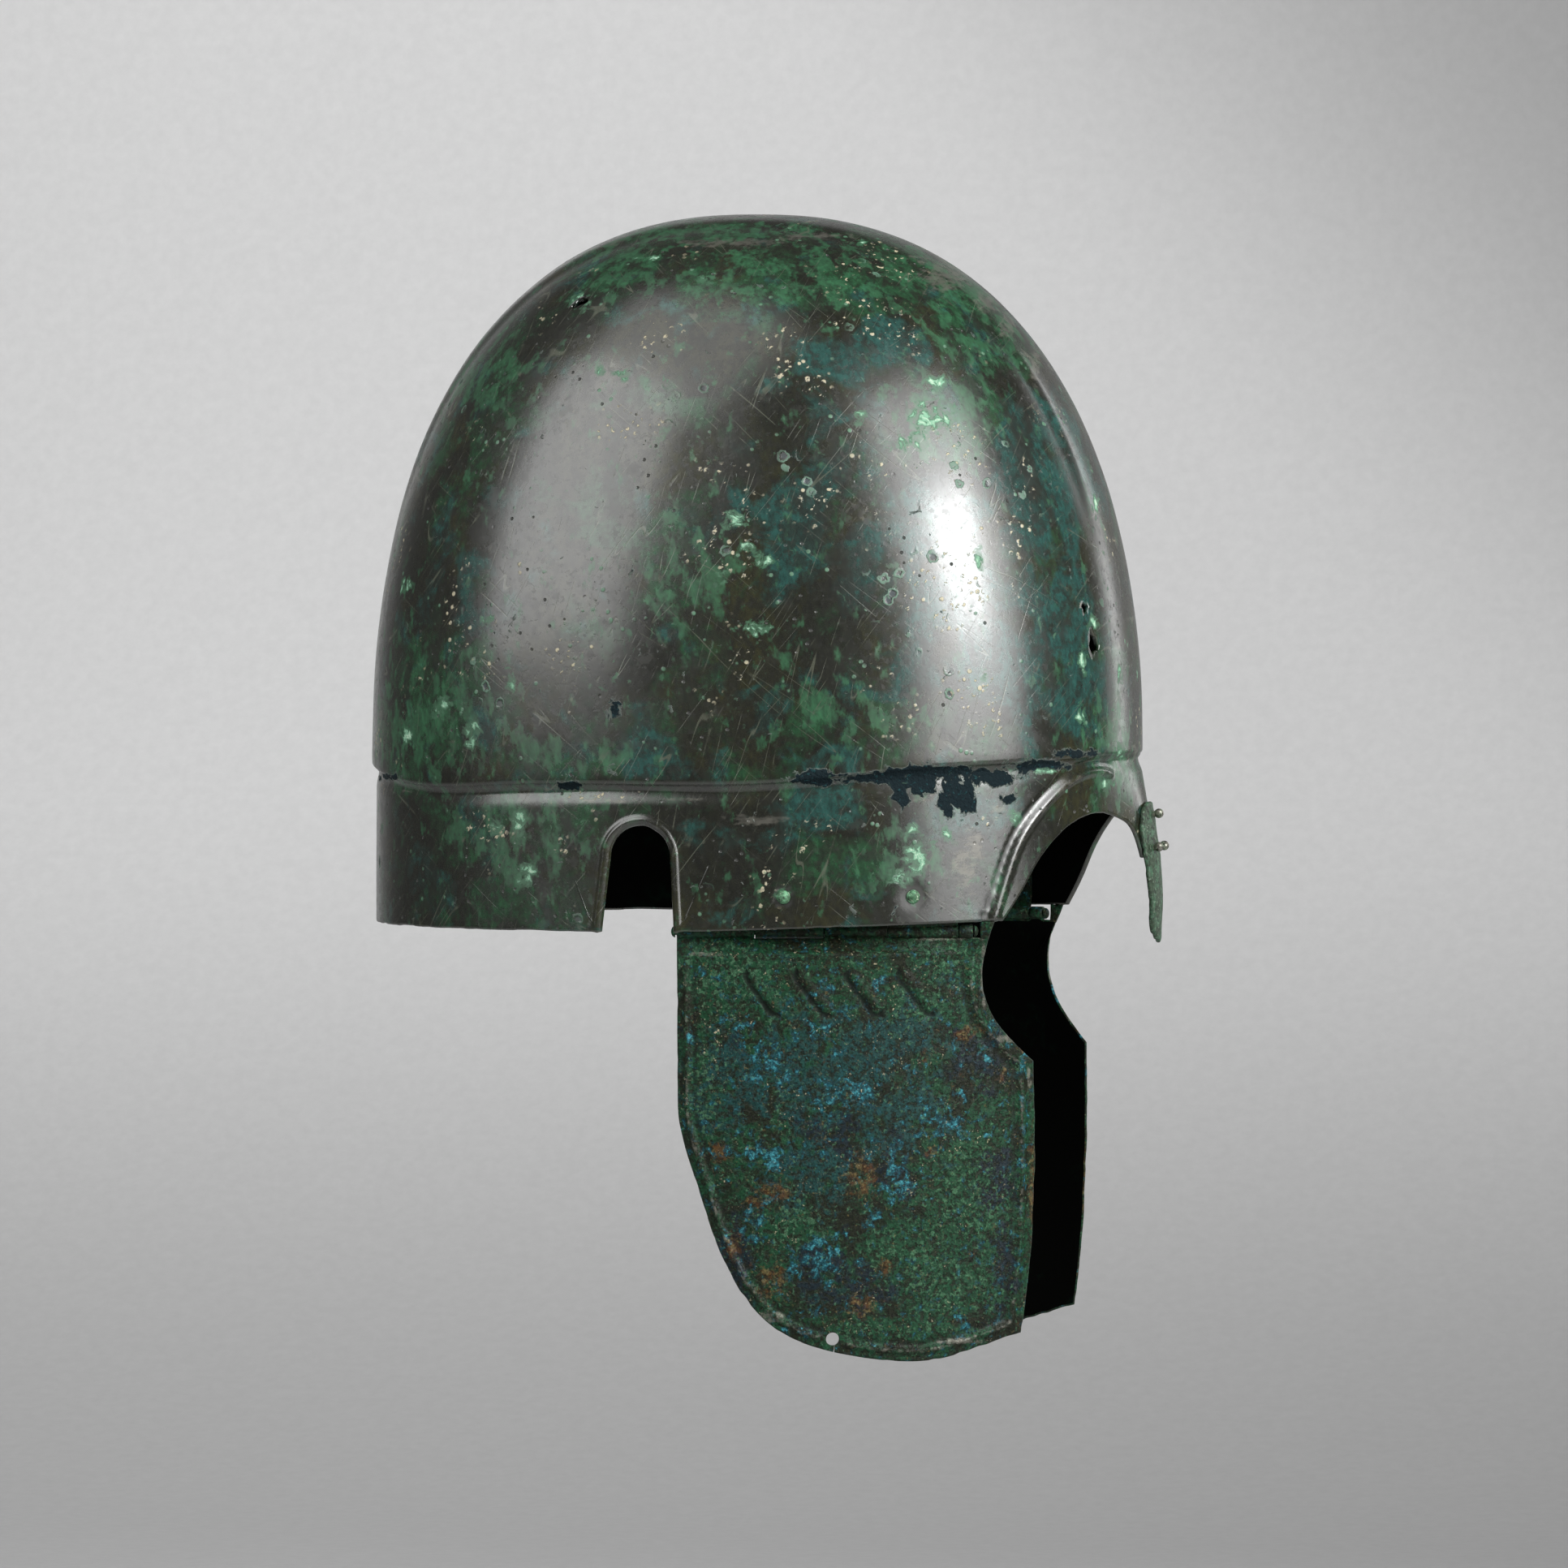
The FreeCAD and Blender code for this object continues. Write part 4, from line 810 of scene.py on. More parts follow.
def tear(seat, axis, half_length, half_width, lean):
    """A drill for a torn hole: an uneven oval carried through the sheet."""
    level = np.cross([0, 0, 1.0], axis)
    level /= np.linalg.norm(level)
    turns = np.linspace(0, 2 * math.pi, 28, endpoint=False)
    uneven = 1 + 0.16 * np.sin(3 * turns + lean) + 0.10 * np.sin(5 * turns)
    along, across = half_length * np.cos(turns) * uneven, half_width * np.sin(turns) * uneven
    tilt = math.radians(lean)
    loop = (seat + np.outer(along * math.cos(tilt) - across * math.sin(tilt), level)
            + np.outer(along * math.sin(tilt) + across * math.cos(tilt), np.cross(axis, level)))
    reach = DRILL_REACH * np.asarray(axis)
    rings = [(seat + reach)[None], loop + reach, loop - reach, (seat - reach)[None]]
    return outward(stack_mesh("tear", rings))


def seen_at(mesh, inside, across, down):
    """The outside point that shows at a place in the photo, and its normal."""
    normals = np.empty(len(mesh.vertices) * 3, dtype=np.float32)
    mesh.vertex_normals.foreach_get("vector", normals)
    normals = normals.reshape(-1, 3).astype(float)
    spots = spots_of(mesh)
    away = np.linalg.norm(in_photo(spots) - [across, down], axis=1)
    away[(normals @ bearing(CAMERA_AZIMUTH, CAMERA_ELEVATION) < 0.02) | (inside > 0.5)] = np.inf
    nearest = away.argmin()
    return spots[nearest], normals[nearest]


def joined(name, meshes):
    """Several meshes as one, with the numbers of the first kept and zero elsewhere."""
    counts = np.cumsum([0] + [len(mesh.vertices) for mesh in meshes])
    faces = [[start + corner for corner in polygon.vertices]
             for mesh, start in zip(meshes, counts) for polygon in mesh.polygons]
    result = bpy.data.meshes.new(name)
    result.from_pydata(np.concatenate([spots_of(mesh) for mesh in meshes]), [], faces)
    result.update()
    result.polygons.foreach_set("use_smooth", np.ones(len(faces), dtype=bool))
    for layer in meshes[0].attributes:
        if layer.domain == "POINT" and layer.data_type == "FLOAT":
            numbers = np.zeros(counts[-1], dtype=np.float32)
            layer.data.foreach_get("value", numbers[:counts[1]])
            paint(result, layer.name, numbers)
    return result


bowl_mesh, bowl_inside = bowl()
outward(bowl_mesh)
tears = [tear(*seen_at(bowl_mesh, bowl_inside, across, down), half_length, half_width, lean)
         for across, down, half_length, half_width, lean in PERFORATIONS]
bowl_mesh = pierced(bowl_mesh, joined("tears", tears))
bowl_piece = place("skull_bowl_dressed", bowl_mesh, "helmet", "bowl_bronze", "skull_bowl")
print("painted on the bowl:", [layer.name for layer in bowl_mesh.attributes if layer.data_type == "FLOAT"])

# %% [markdown]
# Each cheek-piece is a plate bent on a large circle and leaning in towards the jaw. Its outline
# is drawn in side view, and its rings shrink towards the middle of the plate, so the rows beside
# the edge run parallel to it and carry the bead.

# %% Sizes of the cheek-pieces
CHEEK_WALL = 1.4 * MM
CHEEK_REAR = -8 * MM
CHEEK_FRONT = 92.3 * MM
CHEEK_DROP = 125.8 * MM
CREASE_HEIGHT = -6.5 * MM
CHEEK_MIDDLE = 42 * MM
CHEEK_MIDDLE_DRAW = 10.4 * MM
CHEEK_FRONT_DRAW = 38 * MM
CHEEK_LEAN = 4.9 * MM
HINGE_HEIGHT = 0.2 * MM
KNUCKLE_RADIUS = 2.1 * MM
LEAF_CLEARANCE = -1.88 * MM
KNUCKLE_OVERLAP = -1.2 * MM
CHEEK_HEART = np.array([43 * MM, -62 * MM])
CHEEK_ROUGHNESS = 0.13 * MM
CHEEK_WEAR = 0.3 * MM
CHEEK_WEAR_START = -12 * MM
CHEEK_HEART_REACH = 50 * MM
PIN_RADIUS = 1 * MM
RUNNING_GAP = 0.05 * MM
KNUCKLE_SPANS = [(-8 * MM, 14.3 * MM), (34.2 * MM, 52.3 * MM), (72.7 * MM, 76.8 * MM)]
CHEEK_EDGE_SHARES = [(0.000, 0.40), (0.045, 0.56), (0.140, 0.775), (0.280, 0.922), (0.500, 0.987),
                     (0.740, 0.998), (0.966, 0.945)]
CHEEK_FRONT_SHARES = [(0.966, 0.945), (0.997, 0.69), (1.000, 0.306)]
CHEEK_MOUTH_SHARES = [(1.000, 0.306), (0.937, 0.250), (0.893, 0.198), (0.868, 0.097), (0.895, -0.010)]

# %% [markdown]
# The frame says where each hinge turns. The right one's pin line is read from it, so the
# knuckles sit on the very line that the motion model uses.

# %% The pin's line
hinge = next(joint for joint in frame["joints"] if joint["name"] == "cheek_hinge_right")
PIN_START = np.array(hinge["pos_m"], dtype=float)
PIN_ALONG = np.array(hinge["axis"], dtype=float)
PIN_ALONG = PIN_ALONG * math.copysign(1, PIN_ALONG[0])
print("hinge pin starts at", PIN_START, "and runs along", PIN_ALONG)


# %% [markdown]
# Seen from above, the plate is part of a large circle through three chosen places. Near the top
# it bends from that circle to the straight line of the pin, and below it leans in to the jaw.

# %% The cheek-piece's formulas
def circle_through(first, middle, last):
    """Centre and radius of the circle through three places in plan."""
    rows = 2 * np.array([np.subtract(middle, first), np.subtract(last, first)])
    sums = np.array([np.dot(middle, middle), np.dot(last, last)]) - np.dot(first, first)
    centre = np.linalg.solve(rows, sums)
    return centre, np.linalg.norm(centre - first)


def pin_side(x):
    """The pin's place across, at a place along X."""
    return PIN_START[1] + (x - PIN_START[0]) * PIN_ALONG[1] / PIN_ALONG[0]


CHEEK_CENTRE, CHEEK_RADIUS = circle_through(
    (CHEEK_REAR, pin_side(CHEEK_REAR) - CHEEK_WALL / 2), (CHEEK_MIDDLE, CHEEK_MIDDLE_DRAW - HALF_WIDTH),
    (CHEEK_FRONT, CHEEK_FRONT_DRAW - HALF_WIDTH))


def cheek_points(flat, depth):
    """The plate's place for a place in side view: a circle in plan, leaning in, bent to the pin on top."""
    x, z = flat[..., 0], flat[..., 1]
    radius = CHEEK_RADIUS - depth
    plan = CHEEK_CENTRE[1] - np.sqrt(radius**2 - (x - CHEEK_CENTRE[0]) ** 2)
    fall = CHEEK_DROP + CREASE_HEIGHT
    lean = CHEEK_LEAN * np.clip((CREASE_HEIGHT - z) / fall, 0, None)
    rise = np.clip((z - CREASE_HEIGHT) / (HINGE_HEIGHT - CREASE_HEIGHT), 0, 1)
    side = plan * (1 - rise) + (pin_side(x) - CHEEK_WALL / 2 + depth) * rise + lean
    return np.stack([x, side, z], axis=-1)


def cheek_top(x):
    """The flange's upper edge: into the cheek's own knuckles, and just clear of the leaf's."""
    inside = np.zeros_like(x)
    for start, end in KNUCKLE_SPANS:
        inside = np.maximum(inside, soft_step(np.minimum(x - start, end - x), -0.2 * MM, 0.8 * MM))
    return HINGE_HEIGHT + LEAF_CLEARANCE + inside * (KNUCKLE_OVERLAP - LEAF_CLEARANCE)


def side_places(shares):
    """Places in side view from shares of the cheek-piece's length and drop."""
    return [(CHEEK_REAR + x * (CHEEK_FRONT - CHEEK_REAR), -z * CHEEK_DROP) for x, z in shares]


def cheek_outline():
    """The closed outline in side view, as a bent wire would follow the edge.

    It goes round below, up the front, round the mouth, along the hinge and down the back.
    """
    lower = through(side_places(CHEEK_EDGE_SHARES), 210, start=(0, -1), end=(0.97, 0.243))
    front = through(side_places(CHEEK_FRONT_SHARES), 96)
    mouth = side_places(CHEEK_MOUTH_SHARES)
    mouth[-1] = (mouth[-1][0], HINGE_HEIGHT)
    mouth = through(mouth, 60)
    mouth = mouth[mouth[:, 1] < HINGE_HEIGHT + LEAF_CLEARANCE]
    across = np.linspace(mouth[-1, 0], CHEEK_REAR, 161)
    top = np.stack([across, cheek_top(across)], axis=1)
    back = np.stack([np.full(50, CHEEK_REAR), np.linspace(top[-1, 1], lower[0, 1], 50)], axis=1)
    loop = np.concatenate([lower[:-1], front[:-1], mouth[:-1], top[:-1], back[:-1]])
    uneven = hills(on_sheet(loop), 8 * MM, 7) + 0.6 * hills(on_sheet(loop), 2.5 * MM, 9)
    wear = CHEEK_WEAR * np.clip(uneven, 0, 1) * (loop[:, 1] < CHEEK_WEAR_START) / CHEEK_HEART_REACH
    loop += (CHEEK_HEART - loop) * wear[:, None]
    return loop[:len(loop) // 2 * 2], len(lower) - 1, len(front) - 1, len(mouth) - 1


CHEEK_LOOP, LOWER_COUNT, FRONT_COUNT, MOUTH_COUNT = cheek_outline()
print("cheek-piece outline:", len(CHEEK_LOOP), "places")

# %% [markdown]
# The bead lies a little inside the edge, the crease line marks where the plate was bent to the
# hinge, and a row of slanting strokes is punched below it. On top of them sits a thick crust.

# %% Relief of a cheek-piece
CHEEK_NEAR = np.array([0.5, 0.9, 1.4, 1.9, 2.4, 2.9, 3.4, 3.9, 4.4, 5.0, 5.8]) * MM
CHEEK_BEAD_INSET = 3 * MM
CHEEK_BEAD_HALF = 1.55 * MM
CHEEK_BEAD_STAND = 0.9 * MM
CHEEK_GROOVE_INSET = 5.4 * MM
CHEEK_GROOVE_HALF = 1.2 * MM
CHEEK_GROOVE = 0.25 * MM
CREASE_HALF = 1.0 * MM
CREASE_STAND = 0.5 * MM
CREASE_END = 76 * MM
STROKE_REAR = 14.6 * MM
STROKE_PITCH = 14.5 * MM
STROKE_TOP = -12.8 * MM
STROKE_REACH = 6.8 * MM
STROKE_FALL = 9.3 * MM
STROKE_COUNT = 4
BURR_HALF = 2.4 * MM
BURR_STAND = 0.35 * MM
DENT_PLACE = 1.9 * MM
DENT_HALF = 1.5 * MM
DENT = 0.6 * MM
TIE_HOLE = np.array([37 * MM, -119.3 * MM])
TIE_HOLE_RADIUS = 1.95 * MM
TIE_LAND = 4.2 * MM


def shrunk(loop, heart, depths):
    """Rings inside a loop: each place moves towards the heart until it is that deep below the edge."""
    along = np.roll(loop, -1, axis=0) - np.roll(loop, 1, axis=0)
    square = np.stack([-along[:, 1], along[:, 0]], axis=1)
    square /= np.linalg.norm(square, axis=1)[:, None]
    reach = np.abs(((loop - heart) * square).sum(axis=1))
    padded = np.concatenate([reach[-6:], reach, reach[:6]])
    reach = np.convolve(padded, np.ones(13) / 13, mode="valid")
    return heart + (loop - heart) * (1 - depths[:, None, None] / reach[:, None])


def cheek_relief(flat):
    """Bead, crease line and strokes as heights over the plate, with the bead alone beside them."""
    spots = flat.reshape(-1, 2)
    around = np.roll(CHEEK_LOOP, 50, axis=0)[:50 + LOWER_COUNT + FRONT_COUNT + MOUTH_COUNT]
    away, _ = distance_to(around, spots)
    below = soft_step(-spots[:, 1], 7 * MM, 11 * MM)
    below = below * soft_step(np.linalg.norm(spots - TIE_HOLE, axis=1), 0.6 * TIE_LAND, TIE_LAND)
    bead = half_round(np.abs(away - CHEEK_BEAD_INSET), CHEEK_BEAD_HALF, CHEEK_BEAD_STAND) * below
    groove = half_round(np.abs(away - CHEEK_GROOVE_INSET), CHEEK_GROOVE_HALF, CHEEK_GROOVE) * below
    ends = soft_step(spots[:, 0], -4 * MM, 1 * MM) * soft_step(CREASE_END - spots[:, 0], 0, 4 * MM)
    crease = half_round(np.abs(spots[:, 1] - CREASE_HEIGHT), CREASE_HALF, CREASE_STAND) * ends
    strokes = np.zeros(len(spots))
    for index in range(STROKE_COUNT):
        x = STROKE_REAR + index * STROKE_PITCH
        line = np.array([(x, STROKE_TOP), (x + STROKE_REACH, STROKE_TOP - STROKE_FALL)])
        away, side = distance_to(line, spots)
        uneven = 1 + 0.5 * hills(on_sheet(spots), 3 * MM, 41 + index)
        away = away + 0.35 * MM * hills(on_sheet(spots), 2 * MM, 51 + index)
        strokes += half_round(away, BURR_HALF, BURR_STAND)
        beside = np.abs(np.where(side < 0, away, 1) - DENT_PLACE)
        strokes -= uneven * half_round(beside, DENT_HALF, DENT)
    return (bead - groove + crease + strokes).reshape(flat.shape[:-1]), bead + 0.7 * crease


# %% [markdown]
# The cheek-piece has blots of its own: azure and peacock crystals, slate, rust, malachite, pale crumbs, and
# places of bare metal along the edge and the crease line, which also stand in as painted highlight.

# %% Patches on the cheek-piece
CHEEK_PATCHES = {
    "azure": [
        (1022, 1214, 16, 17), (1081, 1209, 12, 6), (1156, 1380, 34, 20), (1112, 1460, 16, 32),
        (955, 1425, 50, 20), (1012, 1552, 38, 32), (850, 1290, 5, 34), (1185, 1398, 10, 10),
        (940, 1310, 30, 30), (1040, 1350, 40, 24), (1180, 1350, 12, 14), (905, 1265, 20, 16),
        (1000, 1268, 26, 12), (1095, 1420, 30, 14), (1215, 1300, 10, 22), (925, 1500, 14, 24),
        (1075, 1505, 14, 12), (1225, 1245, 10, 26), (1262, 1345, 5, 60), (975, 1640, 20, 8),
    ],
    "bluish": [
        (1027, 1330, 105, 80), (1110, 1370, 60, 50), (900, 1330, 50, 60), (1000, 1450, 60, 50),
        (1100, 1280, 60, 40),
    ],
    "slaty": [
        (1204, 1306, 42, 44), (1100, 1440, 34, 40), (1050, 1590, 60, 30), (1225, 1450, 26, 40),
        (1010, 1560, 30, 40), (905, 1540, 30, 60), (1040, 1400, 40, 26), (1240, 1560, 16, 50),
    ],
    "russet": [
        (954, 1468, 22, 13), (903, 1532, 12, 20), (1271, 1462, 4, 66), (1200, 1268, 12, 8),
        (1236, 1326, 6, 12), (1186, 1276, 12, 8), (1262, 1292, 8, 6), (1061, 1448, 22, 26),
        (952, 1580, 20, 24), (1061, 1608, 18, 16), (885, 1420, 14, 12), (1150, 1420, 10, 8),
        (1140, 1300, 10, 8), (935, 1480, 16, 10), (1090, 1560, 10, 10),
    ],
    "verdant": [
        (1192, 1447, 50, 42), (1092, 1538, 36, 22), (983, 1508, 34, 28), (1185, 1592, 52, 30),
        (900, 1200, 60, 40), (1175, 1185, 40, 30), (1130, 1240, 40, 20), (870, 1330, 20, 60),
        (1200, 1500, 40, 30), (1130, 1640, 80, 8), (860, 1180, 24, 24), (1090, 1640, 60, 12),
        (1140, 1560, 40, 40),
    ],
    "flecked": [
        (1000, 1195, 140, 40), (1146, 1194, 12, 12), (900, 1190, 60, 30), (1040, 1260, 90, 16),
        (975, 1360, 30, 26), (1060, 1340, 40, 24), (1195, 1400, 40, 30), (960, 1520, 26, 18),
        (880, 1300, 24, 50), (1030, 1640, 14, 8), (1180, 1620, 50, 14), (1090, 1290, 60, 30),
        (1160, 1220, 40, 20), (1140, 1190, 30, 20),
    ],
    # bare metal along the edge and the crease line, which also stands in as painted highlight
    "worn": [
        (1212, 1200, 5, 50), (1240, 1280, 20, 6), (1160, 1156, 50, 4), (870, 1176, 30, 4),
        (1268, 1330, 4, 20), (950, 1622, 24, 8), (1180, 1652, 50, 5),
    ],
}


# %% [markdown]
# The plate's rings run from the middle of the inside out to the rounded edge and back in over
# the outside, so one closed skin has its wall thickness built in.

# %% The plate
FAR_RINGS = 64
FINE_RINGS = 34
INNER_PICKS = [4, 10]


def cheek_plate():
    """The right cheek-piece's plate: outside, rounded edge and inside, painted for its finish."""
    near = shrunk(CHEEK_LOOP, CHEEK_HEART, CHEEK_NEAR)
    share = np.linspace(1, 0, FAR_RINGS + 2)[1:-1]
    far = CHEEK_HEART + (near[-1] - CHEEK_HEART) * share[:, None, None]
    flat = np.concatenate([near, far])
    base = cheek_points(flat, 0)
    relief, _ = cheek_relief(flat)
    rough = crust(base, 7 * MM, 4, 11) + 0.35 * crust(base, 2.2 * MM, 2, 12)
    rough *= CHEEK_ROUGHNESS * soft_step(-flat[..., 1], 1 * MM, 5 * MM)
    square = normals_of(base)
    square *= -np.sign(square[20, 100, 1])
    outside = base + square * (relief + rough)[..., None]
    inside = cheek_points(flat, CHEEK_WALL)
    full = len(near) + FINE_RINGS
    outer = list(outside[:full]) + [ring[::2] for ring in outside[full:]]
    picks = INNER_PICKS + list(range(len(near) + 4, len(flat), 4))
    inner = [inside[0]] + [inside[row][::2] for row in picks]
    middle = (inner[-1].mean(axis=0)[None], outer[-1].mean(axis=0)[None])
    rings = [middle[0]] + inner[::-1] + rim_rings(outer[0], outer[1], inner[0]) + outer + [middle[1]]
    mesh = stack_mesh("plate", rings)
    spots = np.concatenate(rings)
    kept = ring_numbers(rings, lambda index: index > len(inner))
    relief, proud = cheek_relief(spots[:, [0, 2]])
    for name, patches in CHEEK_PATCHES.items():
        if name != "worn":
            paint(mesh, name, blots(spots, patches))
    # bare metal on the bead and crease crests and in the listed places, which also stands in as painted
    # highlight
    bared_and_highlit = np.maximum(0.75 * proud / CHEEK_BEAD_STAND, blots(spots, CHEEK_PATCHES["worn"]))
    paint(mesh, "worn", kept * bared_and_highlit)
    # painted shade: the groove by the bead and the dents beside the strokes are marked to be darkened
    paint(mesh, "hollow", kept * np.clip(-2.5 * relief / MM, 0, 1))
    paint(mesh, "inside", 1 - kept)
    return mesh


# %% [markdown]
# Near its lowest point the plate has a tie hole, and a small crack runs from it to the edge.
# Both are drilled square to the plate.

# %% Tie hole and crack
CRACK_STEP = np.array([0.4 * MM, -3.3 * MM])


def cheek_drills():
    """Drills for the tie hole, then for the small crack that runs from it to the edge."""
    beside = TIE_HOLE + np.array([[0, 0], [1 * MM, 0], [0, 1 * MM]])
    seat, along, up = cheek_points(beside, 0)
    axis = np.cross(up - seat, along - seat)
    axis /= np.linalg.norm(axis)
    reach = 6 * MM
    profile = [(0, reach), (TIE_HOLE_RADIUS, reach), (TIE_HOLE_RADIUS, -reach), (0, -reach)]
    crack = cheek_points(TIE_HOLE + CRACK_STEP, 0)
    return turned(profile, 40, seat, axis), tear(crack, axis, 1.6 * MM, 0.16 * MM, 96)


# %% [markdown]
# Along the top the flange is rolled into three knuckles round the pin. They are plain tubes on
# the pin's line. In front of the last one the flange rises in a small corner beside the pin's
# end, which closes the angle of the mouth under the bowl's rim.

# %% Knuckles and front corner
SLEEVE_BEVEL = 0.25 * MM
TAB_REAR = 79 * MM
TAB_FRONT = 80.9 * MM
TAB_LEAN = 0.38
TAB_FOOT = -2.6 * MM
TAB_TOP = 3.0 * MM
TAB_INSET = 0.06 * MM


def sleeve(start, end, outer, inner, sides=40):
    """A closed tube on the pin's line, hollow for the pin, its ends slightly bevelled."""
    turns = np.linspace(0, 2 * math.pi, sides, endpoint=False)
    across = np.cross(PIN_ALONG, [0, 0, 1])
    circle = np.cos(turns)[:, None] * across + np.sin(turns)[:, None] * np.array([0, 0, 1])
    rings = []
    for x, turn_in in ((start, 1), (end, -1)):
        here = PIN_START + PIN_ALONG * (x - PIN_START[0]) / PIN_ALONG[0]
        bevel = [here + circle * inner, here + circle * (outer - SLEEVE_BEVEL),
                 here + circle * outer + turn_in * SLEEVE_BEVEL * PIN_ALONG]
        rings += bevel if turn_in > 0 else bevel[::-1]
    return outward(stack_mesh("sleeve", rings, closed=True))


def corner_tab():
    """The flange's front corner: rows of the plate's own formula, each a ring round its wall."""
    rings = []
    for z in np.linspace(TAB_FOOT, TAB_TOP, 12):
        x = np.linspace(TAB_REAR, TAB_FRONT + TAB_LEAN * (z - TAB_FOOT), 9)
        flat = np.stack([x, np.full(9, z)], axis=1)
        outside, inside = cheek_points(flat, TAB_INSET), cheek_points(flat[::-1], CHEEK_WALL - TAB_INSET)
        rings.append(np.concatenate([outside, inside]))
    ends = [rings[0].mean(axis=0)[None], rings[-1].mean(axis=0)[None]]
    return outward(stack_mesh("tab", [ends[0]] + rings + [ends[1]]))


# %% [markdown]
# The left cheek-piece is the right one's mirror image. Each rides on its own body, so it swings
# with its hinge.

# %% Both cheek-pieces
def mirrored(mesh):
    """The mesh on the wearer's other side, its faces turned back outwards."""
    copy = mesh.copy()
    copy.vertices.foreach_set("co", (spots_of(mesh) * [1, -1, 1]).astype(np.float32).ravel())
    copy.flip_normals()
    copy.update()
    return copy


plate = cheek_plate()
for drill in cheek_drills():
    plate = pierced(plate, drill)
sleeves = [sleeve(start + RUNNING_GAP, end - RUNNING_GAP, KNUCKLE_RADIUS, PIN_RADIUS + RUNNING_GAP)
           for start, end in KNUCKLE_SPANS]
cheek_right_mesh = joined("cheek_piece_right_dressed", [plate, corner_tab()] + sleeves)
cheeks = [place(f"cheek_piece_{side}_dressed", mesh, f"cheek_{side}", "cheek_bronze", f"cheek_piece_{side}")
          for side, mesh in (("right", cheek_right_mesh), ("left", mirrored(cheek_right_mesh)))]

# %% [markdown]
# The nasal guard is a small tongue of sheet over the nose. It takes the band's own formula, one
# sheet further out, and an outline drawn from the front.

# %% The nasal guard
NASAL_WALL = 1.5 * MM
SEAT_GAP = 0.05 * MM
NASAL_TOP = 36 * MM
NASAL_TIP = 5.3 * MM
NASAL_HALF_WIDTH = 10 * MM
NASAL_SHARES = [(0.70, 0.97), (1.00, 0.84), (0.98, 0.62), (0.78, 0.28), (0.58, 0.07)]
NASAL_NOTCH = 0.06
NASAL_ROUGHNESS = 0.14 * MM
NASAL_HEART = np.array([0, 17 * MM])


def nasal_mesh():
    """The guard: rings from its middle to its notched edge outside, round the edge, and back inside."""
    height = NASAL_TOP + NASAL_TIP
    half = [(-y * NASAL_HALF_WIDTH, z * height - NASAL_TIP) for y, z in NASAL_SHARES]
    half = through([(0, NASAL_TOP)] + half + [(0, -NASAL_TIP)], 90)
    loop = np.concatenate([half, half[-2:0:-1] * [-1, 1]])
    notches = 1 - NASAL_NOTCH * np.clip(crust(on_sheet(loop), 3 * MM, 2, 31), 0, 1)
    flat = NASAL_HEART + (loop - NASAL_HEART) * notches[:, None] * np.linspace(1, 0.04, 30)[:, None, None]
    turn = np.arctan2(flat[..., 0], oval_front_x(np.abs(flat[..., 0])))
    outer = band_points(turn, flat[..., 1], -SEAT_GAP - NASAL_WALL)
    outer = outer + np.array([1, 0, 0]) * (NASAL_ROUGHNESS * crust(outer, 5 * MM, 4, 23))[..., None]
    inner = band_points(turn, flat[..., 1], -SEAT_GAP)
    middle = (inner[-1].mean(axis=0)[None], outer[-1].mean(axis=0)[None])
    edge = rim_rings(outer[0], outer[1], inner[0])
    return stack_mesh("nasal", [middle[0], *inner[::-1], *edge, *outer, middle[1]])


nasal_piece = place("nasal_guard_dressed", nasal_mesh(), "helmet", "nasal_bronze", "nasal_guard")

# %% [markdown]
# The hinge rivets are small domes, burred over a collar of crust that the bowl's finish darkens further with
# painted shade. One profile makes the dome, the shank through bowl and leaf, and the flatter clench inside.

# %% Hinge rivets
RIVET_HEAD = 2.1 * MM
RIVET_CROWN = 1.6 * MM
RIVET_SHANK = 1.4 * MM
RIVET_CLENCH = 0.9 * MM
LEAF_WALL = 1.2 * MM
GRIP = WALL + LEAF_WALL + 2 * SEAT_GAP
RIVET_DOME = [(0.0, 1.0), (0.22, 0.98), (0.42, 0.88), (0.60, 0.72), (0.76, 0.50), (0.88, 0.26), (0.97, 0.08),
              (0.95, -0.02)]
CLENCH_DOME = [(1.0, 0.0), (0.92, 0.35), (0.70, 0.75), (0.35, 0.97), (0.0, 1.0)]
RIVET_PROFILE = ([(out * RIVET_HEAD, up * RIVET_CROWN) for out, up in RIVET_DOME]
                 + [(RIVET_SHANK, -0.03 * MM), (RIVET_SHANK, -GRIP)]
                 + [(out * RIVET_HEAD, -GRIP - down * RIVET_CLENCH) for out, down in CLENCH_DOME])


rivet_pieces = []
for end, x in zip(("rear", "front"), RIVET_PLACES):
    seat, axis = rivet_seat(x)
    right = turned(RIVET_PROFILE, 44, seat, axis, roughness=0.07 * MM, seed=round(x / MM))
    for side, mesh in (("right", right), ("left", mirrored(right))):
        node = f"hinge_rivet_{end}_{side}"
        rivet_pieces.append(place(f"{node}_dressed", mesh, "helmet", "rivet_bronze", node))
    print(end, "rivet: axis", axis.round(3))

# %% [markdown]
# A patina is a stack of coats. Each finish starts from one plain coat, and every further coat
# covers part of it, where a mask of noise, cells or a painted number says so. A coat can change
# the colour, the roughness, how metallic the surface is, and its height in millimetres.

